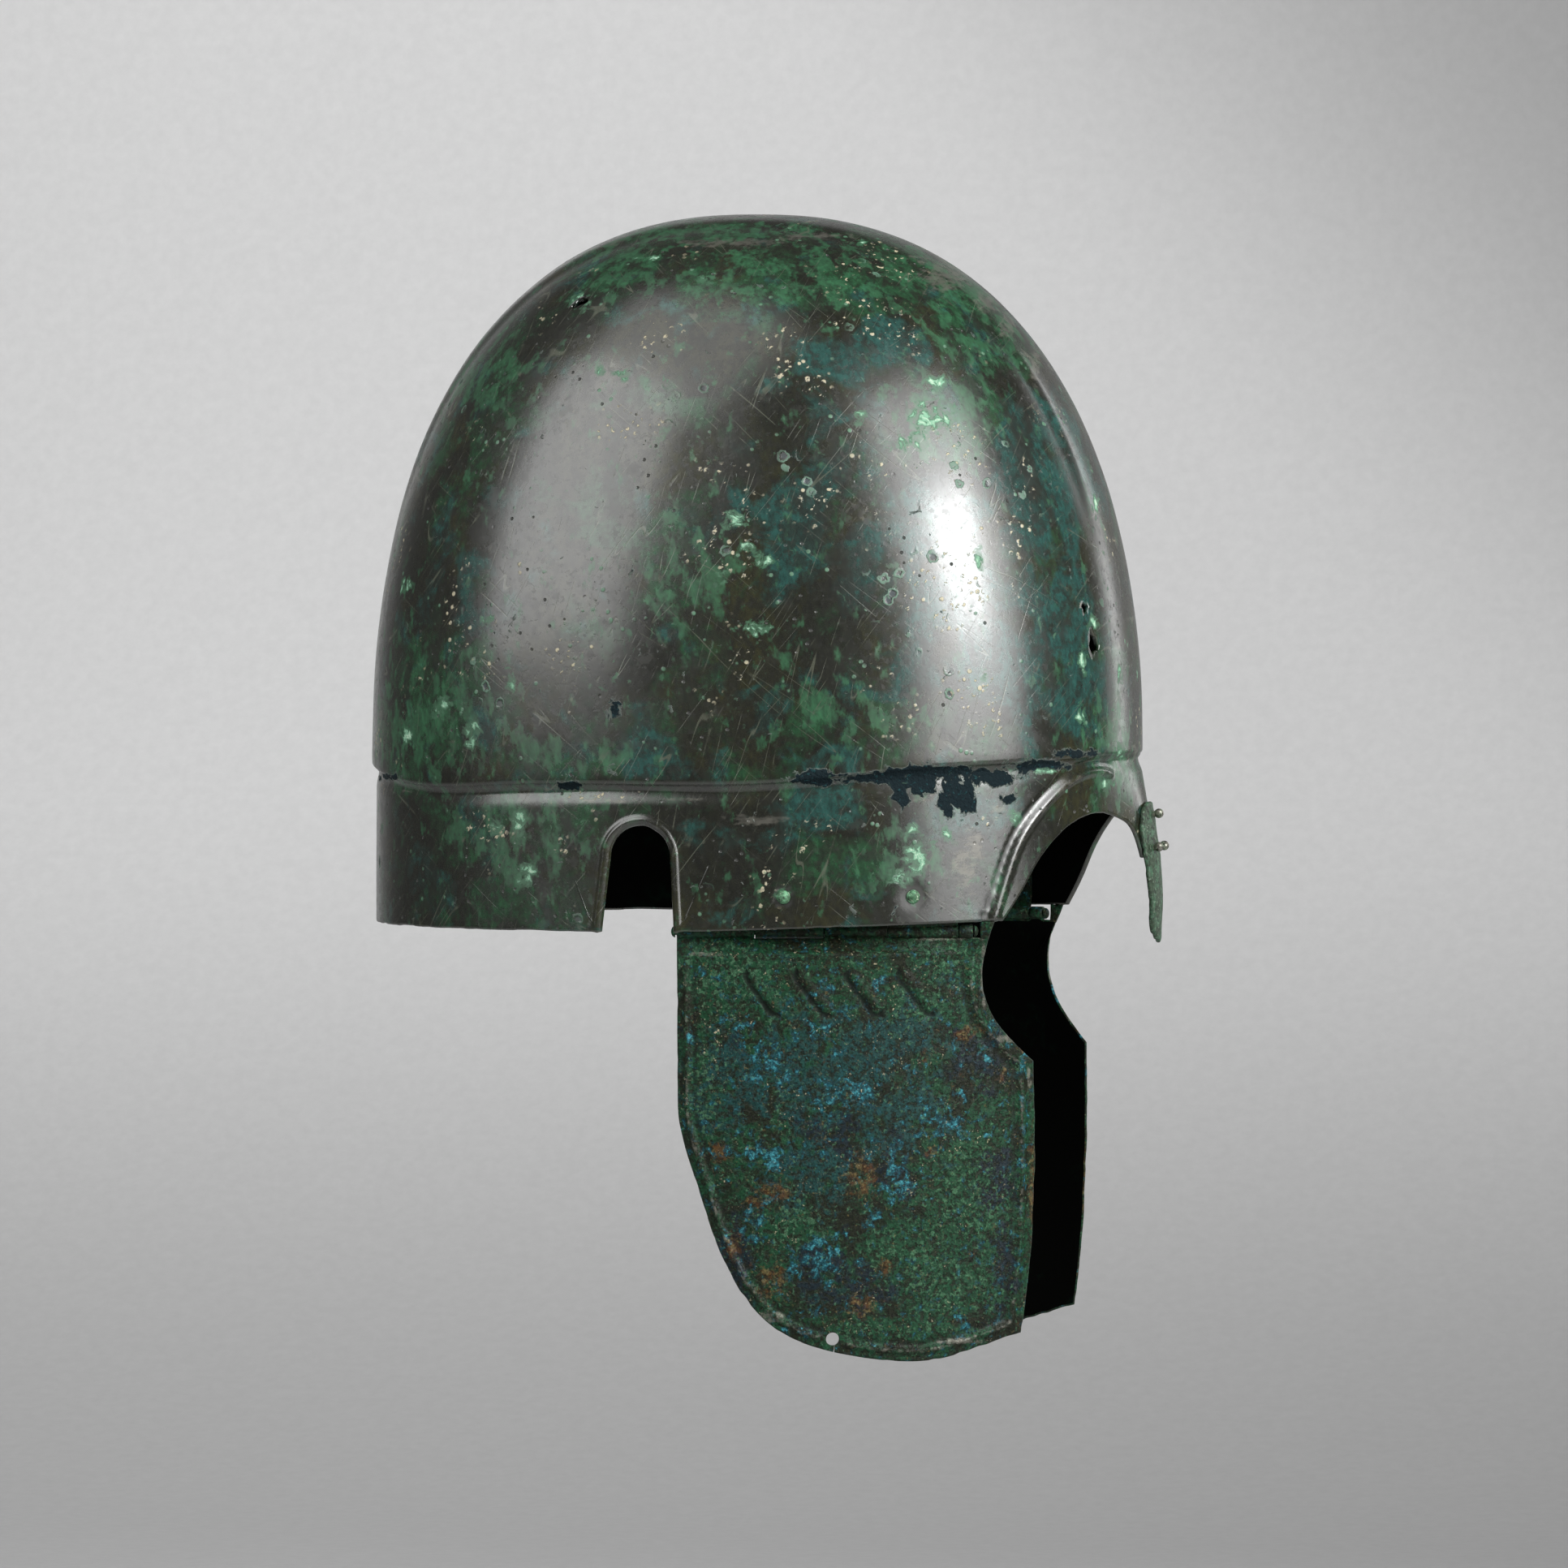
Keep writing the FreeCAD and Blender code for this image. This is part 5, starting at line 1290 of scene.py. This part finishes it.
# %% Coats of a finish
class Finish:
    """A finish under construction: a plain coat, then one coat after another over parts of it."""

    def __init__(self, name, colour, rough, gloss, shine=0.5):
        self.material = bpy.data.materials.new(name)
        self.material.use_nodes = True
        self.tree = self.material.node_tree
        self.shader = self.tree.nodes["Principled BSDF"]
        self.shader.inputs["IOR"].default_value = gloss
        self.shader.inputs["Specular IOR Level"].default_value = shine
        self.where = self.tree.nodes.new("ShaderNodeTexCoord").outputs["Object"]
        self.coats = {"colour": colour, "rough": rough, "metal": 0.0, "height": 0.0}

    def node(self, kind, output, inputs, **settings):
        """One node with its inputs set or linked, and its output handed back."""
        node = self.tree.nodes.new(kind)
        for name, value in settings.items():
            setattr(node, name, value)
        for socket, value in inputs.items():
            if isinstance(value, bpy.types.NodeSocket):
                self.tree.links.new(value, node.inputs[socket])
            else:
                node.inputs[socket].default_value = (*value, 1) if socket in (6, 7) else value
        return node.outputs[output]

    def stretched(self, stretch, turn, seed):
        """The object's own coordinates, turned in degrees about Y, then stretched."""
        turned_round = self.node("ShaderNodeMapping", 0, {
            "Vector": self.where, "Location": (seed, seed, seed), "Rotation": (0, math.radians(turn), 0)})
        return self.node("ShaderNodeMapping", 0, {"Vector": turned_round, "Scale": stretch})

    def cloud(self, size, detail=3.0, seed=0.0, stretch=(1, 1, 1), turn=0, bend=0.0):
        """Cloudy noise round one half, its clouds about that many millimetres across."""
        where = self.stretched(stretch, turn, seed)
        return self.node("ShaderNodeTexNoise", "Fac", {
            "Vector": where, "Scale": 1000 / size, "Detail": detail, "Roughness": 0.6, "Distortion": bend})

    def cells(self, size, seed=0.0):
        """Distance to the nearest of scattered points, which lie about that many millimetres apart."""
        where = self.stretched((1, 1, 1), 0, seed)
        return self.node("ShaderNodeTexVoronoi", "Distance", {"Vector": where, "Scale": 1000 / size})

    def painted(self, name):
        """A number painted on the mesh."""
        return self.node("ShaderNodeAttribute", "Fac", {}, attribute_name=name)

    def sum(self, first, second, share=1.0):
        """The first value plus a share of the second."""
        return self.node("ShaderNodeMath", 0, {0: second, 1: share, 2: first}, operation="MULTIPLY_ADD")

    def both(self, first, second):
        """Where both masks are one."""
        return self.node("ShaderNodeMath", 0, {0: first, 1: second}, operation="MULTIPLY")

    def rising(self, value, start, end, top=1.0):
        """A mask: zero up to the start, the top from the end, soft between. Start may lie above end."""
        return self.node("ShaderNodeMapRange", 0, {0: value, 1: start, 2: end, 3: 0.0, 4: top},
                         interpolation_type="SMOOTHSTEP")

    def ring(self, value, middle, width, top=1.0):
        """A mask: one where the value is near the middle."""
        away = self.node("ShaderNodeMath", 0, {0: value, 1: middle, 2: 0.0}, operation="SUBTRACT")
        away = self.node("ShaderNodeMath", 0, {0: away}, operation="ABSOLUTE")
        return self.rising(away, width, 0.3 * width, top)

    def coat(self, mask, **changes):
        """Covers what is there wherever the mask is one; only a height is added to the one below."""
        for part, value in changes.items():
            below = self.coats[part]
            if part == "height":
                self.coats[part] = self.sum(below, mask, value)
            elif part == "colour":
                sockets = {0: mask, 6: below, 7: value}
                self.coats[part] = self.node("ShaderNodeMix", 2, sockets, data_type="RGBA")
            else:
                sockets = {0: mask, 2: below, 3: value}
                self.coats[part] = self.node("ShaderNodeMix", 0, sockets, data_type="FLOAT")

    def tint(self, value, low, high):
        """Darkens and lightens the colour so far by a value's range."""
        shade = self.node("ShaderNodeMapRange", 0, {0: value, 1: 0.3, 2: 0.7, 3: low, 4: high})
        shaded = self.node("ShaderNodeVectorMath", 0, {0: self.coats["colour"], 3: shade}, operation="SCALE")
        self.coats["colour"] = shaded

    def done(self, grain, fine):
        """Links the coats to the shader, with a grain of that size and height, in millimetres, on top."""
        for part, socket in (("colour", "Base Color"), ("rough", "Roughness"), ("metal", "Metallic")):
            value = self.coats[part]
            if isinstance(value, bpy.types.NodeSocket):
                self.tree.links.new(value, self.shader.inputs[socket])
            else:
                self.shader.inputs[socket].default_value = (*value, 1) if part == "colour" else value
        height = self.sum(self.coats["height"], self.cloud(grain, 4, 5.5), fine)
        bump = self.node("ShaderNodeBump", 0, {"Height": height, "Distance": MM})
        self.tree.links.new(bump, self.shader.inputs["Normal"])
        return self.material


# %% [markdown]
# The bowl kept its polish under the patina: brown-black and olive with green and blue-green clouds, so it
# still mirrors the lamps. Over that lie flecks of pale lime, spots and rings of verdigris, pits and
# scratches. There is also the blue-black crust, which along the step paints the step's shadow, bare metal,
# which also stands in as painted highlight, and painted shade in the grooves.

# %% Finish of the bowl
SOOT_AND_SHADE = (0.009, 0.010, 0.005)
OLIVE = (0.026, 0.026, 0.009)
MOSS = (0.014, 0.062, 0.024)
LEAF_GREEN = (0.030, 0.140, 0.060)
TEAL = (0.016, 0.072, 0.060)
LIME = (0.56, 0.50, 0.33)
VERDIGRIS = (0.22, 0.50, 0.31)
INK = (0.012, 0.026, 0.032)
BARE_AND_HIGHLIGHT = (0.26, 0.25, 0.21)
SCRATCH = (0.13, 0.14, 0.10)
DULL_GREEN = (0.08, 0.19, 0.12)
SPECK_GREEN = (0.08, 0.22, 0.12)
CRUST_AND_SHADOW_EDGE = (0.06, 0.10, 0.075)
CRUST_GLINT = (0.03, 0.10, 0.11)
MINT = (0.50, 0.72, 0.52)


def bowl_finish():
    """The polished patina of the bowl."""
    f = Finish("bowl_patina", SOOT_AND_SHADE, 0.23, 2.00)
    f.coat(f.rising(f.cloud(42, 5, 1.3), 0.40, 0.60), colour=OLIVE)
    verdant = f.sum(f.cloud(22, 7, 2.1, bend=0.4), f.painted("verdant"), 0.13)
    f.coat(f.rising(verdant, 0.51, 0.64), colour=MOSS)
    bluish = f.sum(f.cloud(15, 7, 3.7, bend=0.4), f.painted("bluish"), 0.17)
    f.coat(f.rising(bluish, 0.53, 0.67), colour=TEAL)
    f.coat(f.rising(f.cloud(11, 6, 4.2, (1, 1, 0.25), 8), 0.50, 0.66, 0.8), colour=SOOT_AND_SHADE, rough=0.30)
    sooty = f.sum(f.cloud(3.6, 7, 5.1), f.painted("sooty"), 0.12)
    f.coat(f.rising(sooty, 0.47, 0.61, 0.7), colour=SOOT_AND_SHADE, rough=0.29)
    veil = f.sum(f.cloud(5, 9, 6.4, (1, 1, 0.6), 6), f.painted("verdant"), 0.14)
    f.coat(f.rising(veil, 0.58, 0.70, 0.6), colour=LEAF_GREEN, rough=0.36)
    smoky = f.cloud(8, 7, 7.7)
    f.coat(f.rising(smoky, 0.56, 0.72, 0.5), rough=0.40, height=0.015)
    f.tint(f.cloud(1.3, 5, 1.9, (1, 1, 0.5), 10), 0.55, 1.5)
    f.coat(f.rising(f.cloud(1.8, 6, 8.3), 0.56, 0.66, 0.5), colour=SOOT_AND_SHADE, rough=0.38, height=-0.012)
    # scratches are thin lines where stretched noise crosses its middle
    for turn, seed in ((52, 0.3), (-38, 0.7), (75, 1.1), (60, 1.7)):
        line = f.ring(f.cloud(5, 0, seed, (0.06, 0.06, 1), turn), 0.5, 0.008)
        patchy = f.rising(f.cloud(16, 5, seed + 3), 0.51, 0.62, 0.6)
        f.coat(f.both(line, patchy), colour=SCRATCH, height=-0.02)
    # lime flecks in clusters
    cluster = f.sum(f.cloud(22, 4, 8.8), f.painted("flecked"), 0.20)
    broken = f.rising(f.cloud(2.4, 5, 2.2, (1, 1, 1.6), 40), 0.52, 0.58)
    crumbs = f.both(f.rising(f.cells(2.1, 1.9), 0.40, 0.26), broken)
    f.coat(f.both(crumbs, f.rising(cluster, 0.58, 0.70)), colour=LIME, rough=0.6, height=0.06)
    # verdigris spots and the rings round burst blisters
    spread = f.sum(f.cloud(30, 3, 9.4), f.painted("flecked"), 0.14)
    blister = f.sum(f.cells(7.5, 4.4), f.cloud(2.5, 4, 8.2), 0.35)
    spread = f.rising(spread, 0.60, 0.70)
    f.coat(f.both(f.ring(blister, 0.38, 0.05), spread), colour=DULL_GREEN, rough=0.6, height=0.08)
    f.coat(f.both(f.rising(blister, 0.34, 0.27), spread), colour=INK, rough=0.7, height=-0.12)
    specks = f.both(f.rising(f.cells(3.4, 6.1), 0.24, 0.12), f.rising(f.cloud(12, 5, 1.7), 0.55, 0.64))
    f.coat(specks, colour=SPECK_GREEN, rough=0.6, height=0.06)
    pits = f.both(f.rising(f.cells(4.5, 7.3), 0.13, 0.07), f.rising(f.cloud(26, 2, 4.9), 0.50, 0.60))
    f.coat(pits, colour=SOOT_AND_SHADE, rough=0.8, height=-0.25)
    # painted patches: bare metal that also stands in as painted highlight, crust that along the step also
    # paints its shadow, and verdigris
    # bare metal, also standing in as painted highlight on the crests and under the step
    worn = f.sum(f.painted("worn"), f.cloud(3.5, 6, 2.8, (1, 1, 2.2), 10), 2.2)
    f.coat(f.rising(worn, 1.75, 2.35, 0.5), colour=BARE_AND_HIGHLIGHT, rough=0.34, metal=0.6)
    # painted shade: the marked grooves and the rings round the rivets are darkened to soot black
    f.coat(f.rising(f.painted("hollow"), 0.1, 0.8, 0.8), colour=SOOT_AND_SHADE, rough=0.5, metal=0.0)
    # the crust and its rim; along the step these paint the shadow under the lip
    crusted = f.sum(f.painted("crusted"), f.cloud(4.2, 7, 3.3, bend=0.8), 2.6)
    f.coat(f.ring(crusted, 1.86, 0.10, 0.7), colour=CRUST_AND_SHADOW_EDGE, rough=0.6, metal=0.0, height=0.15)
    scab = f.rising(crusted, 1.88, 1.96)
    f.coat(scab, colour=INK, rough=0.7, metal=0.9, height=0.35)
    f.coat(f.both(scab, f.cloud(1.1, 5, 4.6)), height=0.9)
    glints = f.both(f.rising(crusted, 1.90, 1.96), f.rising(f.cloud(1.4, 3, 6.6), 0.58, 0.70))
    f.coat(glints, colour=CRUST_GLINT, height=0.15)
    minted = f.sum(f.painted("mint"), f.cloud(3.0, 8, 7.1, bend=0.6), 3.2)
    f.coat(f.rising(minted, 2.05, 2.45, 0.8), colour=LEAF_GREEN, rough=0.5, metal=0.0)
    f.coat(f.rising(minted, 2.50, 2.75), colour=VERDIGRIS, rough=0.7, metal=0.0, height=0.12)
    f.coat(f.rising(minted, 2.80, 2.95), colour=MINT, height=0.05)
    return f.done(1.4, 0.016)


# %% [markdown]
# The cheek-pieces and the nasal guard lost their polish. Their crust is granular, so it scatters light, and
# its minerals lie side by side: malachite, azure, slate and rust. On the cheek-pieces the groove by the bead
# and the dents beside the strokes are darkened as painted shade, and the bare crests also stand in as painted
# highlight.

# %% Finish of the cheek-pieces
MALACHITE = (0.010, 0.050, 0.022)
PEACOCK = (0.011, 0.046, 0.042)
AZURE = (0.008, 0.060, 0.078)
SKY = (0.050, 0.250, 0.290)
OCHRE = (0.130, 0.100, 0.040)
SLATE = (0.010, 0.018, 0.023)
RUST = (0.075, 0.032, 0.010)
EARTH = (0.011, 0.014, 0.007)
PALE_GREEN = (0.055, 0.145, 0.075)
CHEEK_GROOVE_SHADE = (0.004, 0.007, 0.005)


def cheek_finish():
    """The granular crust of the cheek-pieces."""
    f = Finish("cheek_patina", EARTH, 0.42, 1.55, shine=0.2)
    green = f.sum(f.cloud(10, 9, 1.1, bend=0.6), f.painted("verdant"), 0.16)
    f.coat(f.rising(green, 0.42, 0.56), colour=MALACHITE)
    bluish = f.sum(f.cloud(7, 9, 2.3, bend=0.6), f.painted("bluish"), 0.20)
    f.coat(f.rising(bluish, 0.58, 0.70), colour=PEACOCK)
    slaty = f.sum(f.cloud(6, 9, 3.1), f.painted("slaty"), 0.22)
    f.coat(f.rising(slaty, 0.60, 0.72), colour=SLATE, rough=0.32)
    russet = f.sum(f.cloud(2.6, 9, 5.9), f.painted("russet"), 0.24)
    f.coat(f.rising(russet, 0.60, 0.80, 0.85), colour=RUST, rough=0.5)
    f.coat(f.rising(f.cloud(1.8, 8, 7.4), 0.49, 0.58, 0.85), colour=EARTH, height=-0.16)
    azure = f.sum(f.cloud(3.0, 9, 4.7, bend=0.4), f.painted("azure"), 0.11)
    f.coat(f.rising(azure, 0.56, 0.68), colour=AZURE)
    f.coat(f.rising(f.sum(azure, f.cloud(0.8, 3, 3.9), 0.5), 0.90, 1.00, 0.8), colour=SKY)
    pale = f.sum(f.cloud(1.4, 8, 8.1), f.painted("verdant"), 0.07)
    f.coat(f.rising(pale, 0.57, 0.69, 0.8), colour=PALE_GREEN, rough=0.5, height=0.10)
    ochre = f.sum(f.cloud(1.5, 7, 9.7), f.painted("russet"), 0.12)
    f.coat(f.rising(ochre, 0.62, 0.72, 0.7), colour=OCHRE)
    f.tint(f.cloud(0.7, 5, 6.2), 0.25, 2.0)
    flecked = f.sum(f.cloud(10, 6, 9.2), f.painted("flecked"), 0.18)
    crumbs = f.both(f.rising(f.cloud(0.9, 4, 2.4), 0.60, 0.68), f.rising(f.cloud(2.3, 6, 3.6), 0.50, 0.58))
    f.coat(f.both(crumbs, f.rising(flecked, 0.46, 0.66)), colour=LIME, rough=0.5, height=0.12)
    # bare metal, also standing in as painted highlight on the bead and the crease line
    worn = f.sum(f.painted("worn"), f.cloud(2.2, 7, 2.9), 2.2)
    f.coat(f.rising(worn, 1.72, 2.30, 0.65), colour=BARE_AND_HIGHLIGHT, rough=0.3, metal=0.6)
    # painted shade: the marked groove and dents are darkened nearly to black
    f.coat(f.rising(f.painted("hollow"), 0.1, 0.9, 0.85), colour=CHEEK_GROOVE_SHADE, rough=0.7)
    return f.done(0.75, 0.18)


# %% [markdown]
# The inner faces were never polished. A dull coat painted nearly black as shade, with a trace of green,
# serves for all of them.

# %% Finish of the inner faces
NEARLY_BLACK = (0.0020, 0.0022, 0.0018)
NEARLY_GREEN = (0.003, 0.010, 0.006)


def inner_shade_finish():
    """The dull coat inside the bowl and the cheek-pieces, painted nearly black as shade."""
    f = Finish("inner_patina", NEARLY_BLACK, 0.85, 1.40, shine=0.05)
    f.coat(f.rising(f.cloud(14, 6, 5.3), 0.56, 0.70), colour=NEARLY_GREEN)
    return f.done(1.4, 0.05)


# %% [markdown]
# The small fittings each take one crust-covered finish of three colours. The balls of the nasal rivets alone
# are still bare enough to glint.

# %% Finishes of the small fittings
NASAL_COLOURS = [(0.04, 0.07, 0.04), (0.05, 0.13, 0.07), (0.16, 0.24, 0.16)]
RIVET_COLOURS = [(0.06, 0.17, 0.08), (0.18, 0.44, 0.24), (0.45, 0.62, 0.42)]
BALL_COLOURS = [(0.34, 0.33, 0.28), (0.16, 0.20, 0.13), (0.10, 0.16, 0.09)]


def fitting_finish(name, colours, rough, metal, rise):
    """A crust-covered fitting: one colour, a second in clouds, and grains of a third."""
    f = Finish(name, colours[0], rough, 1.6)
    f.coats["metal"] = metal
    f.coat(f.rising(f.cloud(3.0, 6, 1.5), 0.45, 0.60), colour=colours[1], metal=0.0)
    f.coat(f.rising(f.cloud(1.1, 4, 3.5), 0.55, 0.68), colour=colours[2], metal=0.0, height=rise)
    f.coat(f.rising(f.cloud(1.6, 5, 4.5), 0.54, 0.62, 0.8), colour=EARTH, height=-rise)
    f.tint(f.cloud(0.7, 3, 6.5), 0.5, 1.5)
    return f.done(0.8, rise)


def line_inside(piece, lining):
    """Gives the faces whose corners are painted as inside the lining, as a second material."""
    mesh = piece.data
    inside = np.empty(len(mesh.vertices), dtype=np.float32)
    mesh.attributes["inside"].data.foreach_get("value", inside)
    corners = np.empty(len(mesh.loops), dtype=np.int32)
    mesh.loops.foreach_get("vertex_index", corners)
    starts = np.empty(len(mesh.polygons), dtype=np.int32)
    mesh.polygons.foreach_get("loop_start", starts)
    lined = np.minimum.reduceat(inside[corners], starts) > 0.5
    mesh.materials.append(lining)
    mesh.polygons.foreach_set("material_index", lined.astype(np.int32))


# %% [markdown]
# Every piece that shows is given its finish by the start of its name, the frame's own pieces
# too, since the leaves, the pins and the balls are used as they are.

# %% Finishes on the pieces
bowl_patina = bowl_finish()
cheek_patina = cheek_finish()
nasal_patina = fitting_finish("nasal_patina", NASAL_COLOURS, 0.5, 0.2, 0.12)
rivet_patina = fitting_finish("rivet_patina", RIVET_COLOURS, 0.6, 0.0, 0.14)
ball_patina = fitting_finish("ball_patina", BALL_COLOURS, 0.33, 0.85, 0.04)
FINISHES = {"nasal_rivet": ball_patina, "hinge_leaf": cheek_patina, "hinge_pin": cheek_patina,
            "hinge_rivet": rivet_patina, "cheek_piece": cheek_patina, "skull_bowl": bowl_patina,
            "nasal_guard": nasal_patina}
dressed = [bowl_piece] + cheeks + [nasal_piece] + rivet_pieces
for name, piece in list(nodes.items()) + [(piece.name, piece) for piece in dressed]:
    finish = next(finish for start, finish in FINISHES.items() if name.startswith(start))
    piece.data.materials.clear()
    piece.data.materials.append(finish)
# the inner faces take the coat painted nearly black as shade
inner_patina = inner_shade_finish()
for piece in [bowl_piece] + cheeks:
    line_inside(piece, inner_patina)
print("finishes:", sorted({material.name for piece in dressed for material in piece.data.materials}))

# %% [markdown]
# The camera takes the photo's own view.

# %% Camera
def look(obj, spot, target):
    """Stands an object at a spot, facing the target, with its top up."""
    obj.location = Vector(spot)
    obj.rotation_euler = (Vector(target) - Vector(spot)).to_track_quat("-Z", "Y").to_euler()


camera_data = bpy.data.cameras.new("camera")
camera_data.sensor_width = SENSOR
camera_data.lens = LENS
camera = bpy.data.objects.new("camera", camera_data)
bpy.context.scene.collection.objects.link(camera)
look(camera, AIM + CAMERA_DISTANCE * bearing(CAMERA_AZIMUTH, CAMERA_ELEVATION), AIM)
bpy.context.scene.camera = camera

# %% [markdown]
# Two large softboxes stand left and right of the camera, a little above it. The bowl mirrors
# them as the two tall soft glosses of the photo. A small lamp in the right one makes its hot
# heart. A lamp behind the helmet washes the backdrop brighter at the upper left.

# %% Lamps
LAMPS = {
    # azimuth and elevation in degrees, distance, width and height in metres, radiance
    "left_softbox": (-45, 31, 1.25, 0.92, 1.00, 2.5),
    "left_upper": (-38, 64, 1.25, 0.80, 0.60, 1.1),
    "right_softbox": (59, 25, 1.25, 0.86, 1.30, 3.3),
    "right_heart": (59, 24, 1.20, 0.32, 0.44, 12.0),
    "right_strip": (142, 14, 1.40, 0.26, 0.90, 2.4),
}
BACKDROP_LAMP = (-143, 42, 1.65, 0.6, 0.6, 12.0)
BACKDROP_TARGET = (-0.42, 2.4, 0.30)
WORLD_LEVEL = 0.10


def softbox(name, azimuth, elevation, distance, width, height, radiance, target=(0, 0, 0.06)):
    """A large soft lamp aimed at the helmet; its power is radiance times area times pi."""
    data = bpy.data.lights.new(name, "AREA")
    data.shape = "RECTANGLE"
    data.size = width
    data.size_y = height
    data.energy = radiance * width * height * math.pi
    lamp = bpy.data.objects.new(name, data)
    bpy.context.scene.collection.objects.link(lamp)
    look(lamp, distance * bearing(azimuth, elevation), target)
    return lamp


for name, lamp in LAMPS.items():
    softbox(name, *lamp)
softbox("backdrop_lamp", *BACKDROP_LAMP, BACKDROP_TARGET)

world = bpy.data.worlds.new("studio")
bpy.context.scene.world = world
world.use_nodes = True
world.node_tree.nodes["Background"].inputs["Color"].default_value = (WORLD_LEVEL, WORLD_LEVEL, WORLD_LEVEL, 1)
world.node_tree.nodes["Background"].inputs["Strength"].default_value = 1.0

# %% [markdown]
# A photographer hangs one long sheet of paper behind the helmet and lets it run on over the
# floor, so no corner shows. It is a profile of a line, a quarter round and a line, carried
# across. The paper has one side only: seen from behind it is clear, so that a camera that goes
# round the helmet sees its far side too.

# %% Floor and backdrop
SWEEP_HALF_WIDTH = 4.0
SWEEP_FRONT = -4.0
SWEEP_BEND = 1.6
SWEEP_RADIUS = 0.8
SWEEP_TOP = 3.5
FLOOR_HEIGHT = -0.35
PAPER = (0.80, 0.80, 0.80)
PAPER_LOW_SHADE = (0.50, 0.50, 0.50)
PAPER_RIGHT_SHADE = (0.42, 0.42, 0.42)


def sweep():
    """Floor and backdrop as one sheet: flat, then a quarter round, then straight up."""
    turns = np.linspace(0, math.pi / 2, 24)
    wall = SWEEP_BEND + SWEEP_RADIUS
    y = np.concatenate([[SWEEP_FRONT], SWEEP_BEND + SWEEP_RADIUS * np.sin(turns), [wall]])
    z = np.concatenate([[FLOOR_HEIGHT], FLOOR_HEIGHT + SWEEP_RADIUS * (1 - np.cos(turns)), [SWEEP_TOP]])
    low = np.stack([np.full(len(y), -SWEEP_HALF_WIDTH), y, z], axis=1)
    count = len(y)
    faces = [(row, row + count, row + count + 1, row + 1) for row in range(count - 1)]
    mesh = bpy.data.meshes.new("sweep")
    mesh.from_pydata(np.concatenate([low, low * [-1, 1, 1]]), [], faces)
    mesh.polygons.foreach_set("use_smooth", np.ones(len(faces), dtype=bool))
    obj = bpy.data.objects.new("sweep", mesh)
    bpy.context.scene.collection.objects.link(obj)
    return obj


def paper_finish():
    """Pale grey paper with a faint grain and painted shade low down and at the upper right, clear from
    behind.
    """
    f = Finish("paper", PAPER, 0.9, 1.3)
    across = f.node("ShaderNodeSeparateXYZ", 0, {0: f.where})
    up = f.node("ShaderNodeSeparateXYZ", 2, {0: f.where})
    # painted shade: the paper is darker on the floor and towards the upper right
    f.coat(f.rising(up, 0.0, FLOOR_HEIGHT), colour=PAPER_LOW_SHADE)
    f.coat(f.rising(f.sum(across, up), -0.05, 0.45, 0.8), colour=PAPER_RIGHT_SHADE)
    f.tint(f.cloud(6, 4, 1.2), 0.97, 1.03)
    material = f.done(6, 0.0)
    back = f.node("ShaderNodeNewGeometry", "Backfacing", {})
    clear = f.node("ShaderNodeBsdfTransparent", 0, {})
    one_sided = f.node("ShaderNodeMixShader", 0, {0: back, 1: f.shader.outputs[0], 2: clear})
    f.tree.links.new(one_sided, f.tree.nodes["Material Output"].inputs["Surface"])
    return material


floor = sweep()
floor.data.materials.append(paper_finish())

# %% [markdown]
# The view is set to plain colours.

# %% Finish
bpy.context.scene.view_settings.view_transform = "Standard"
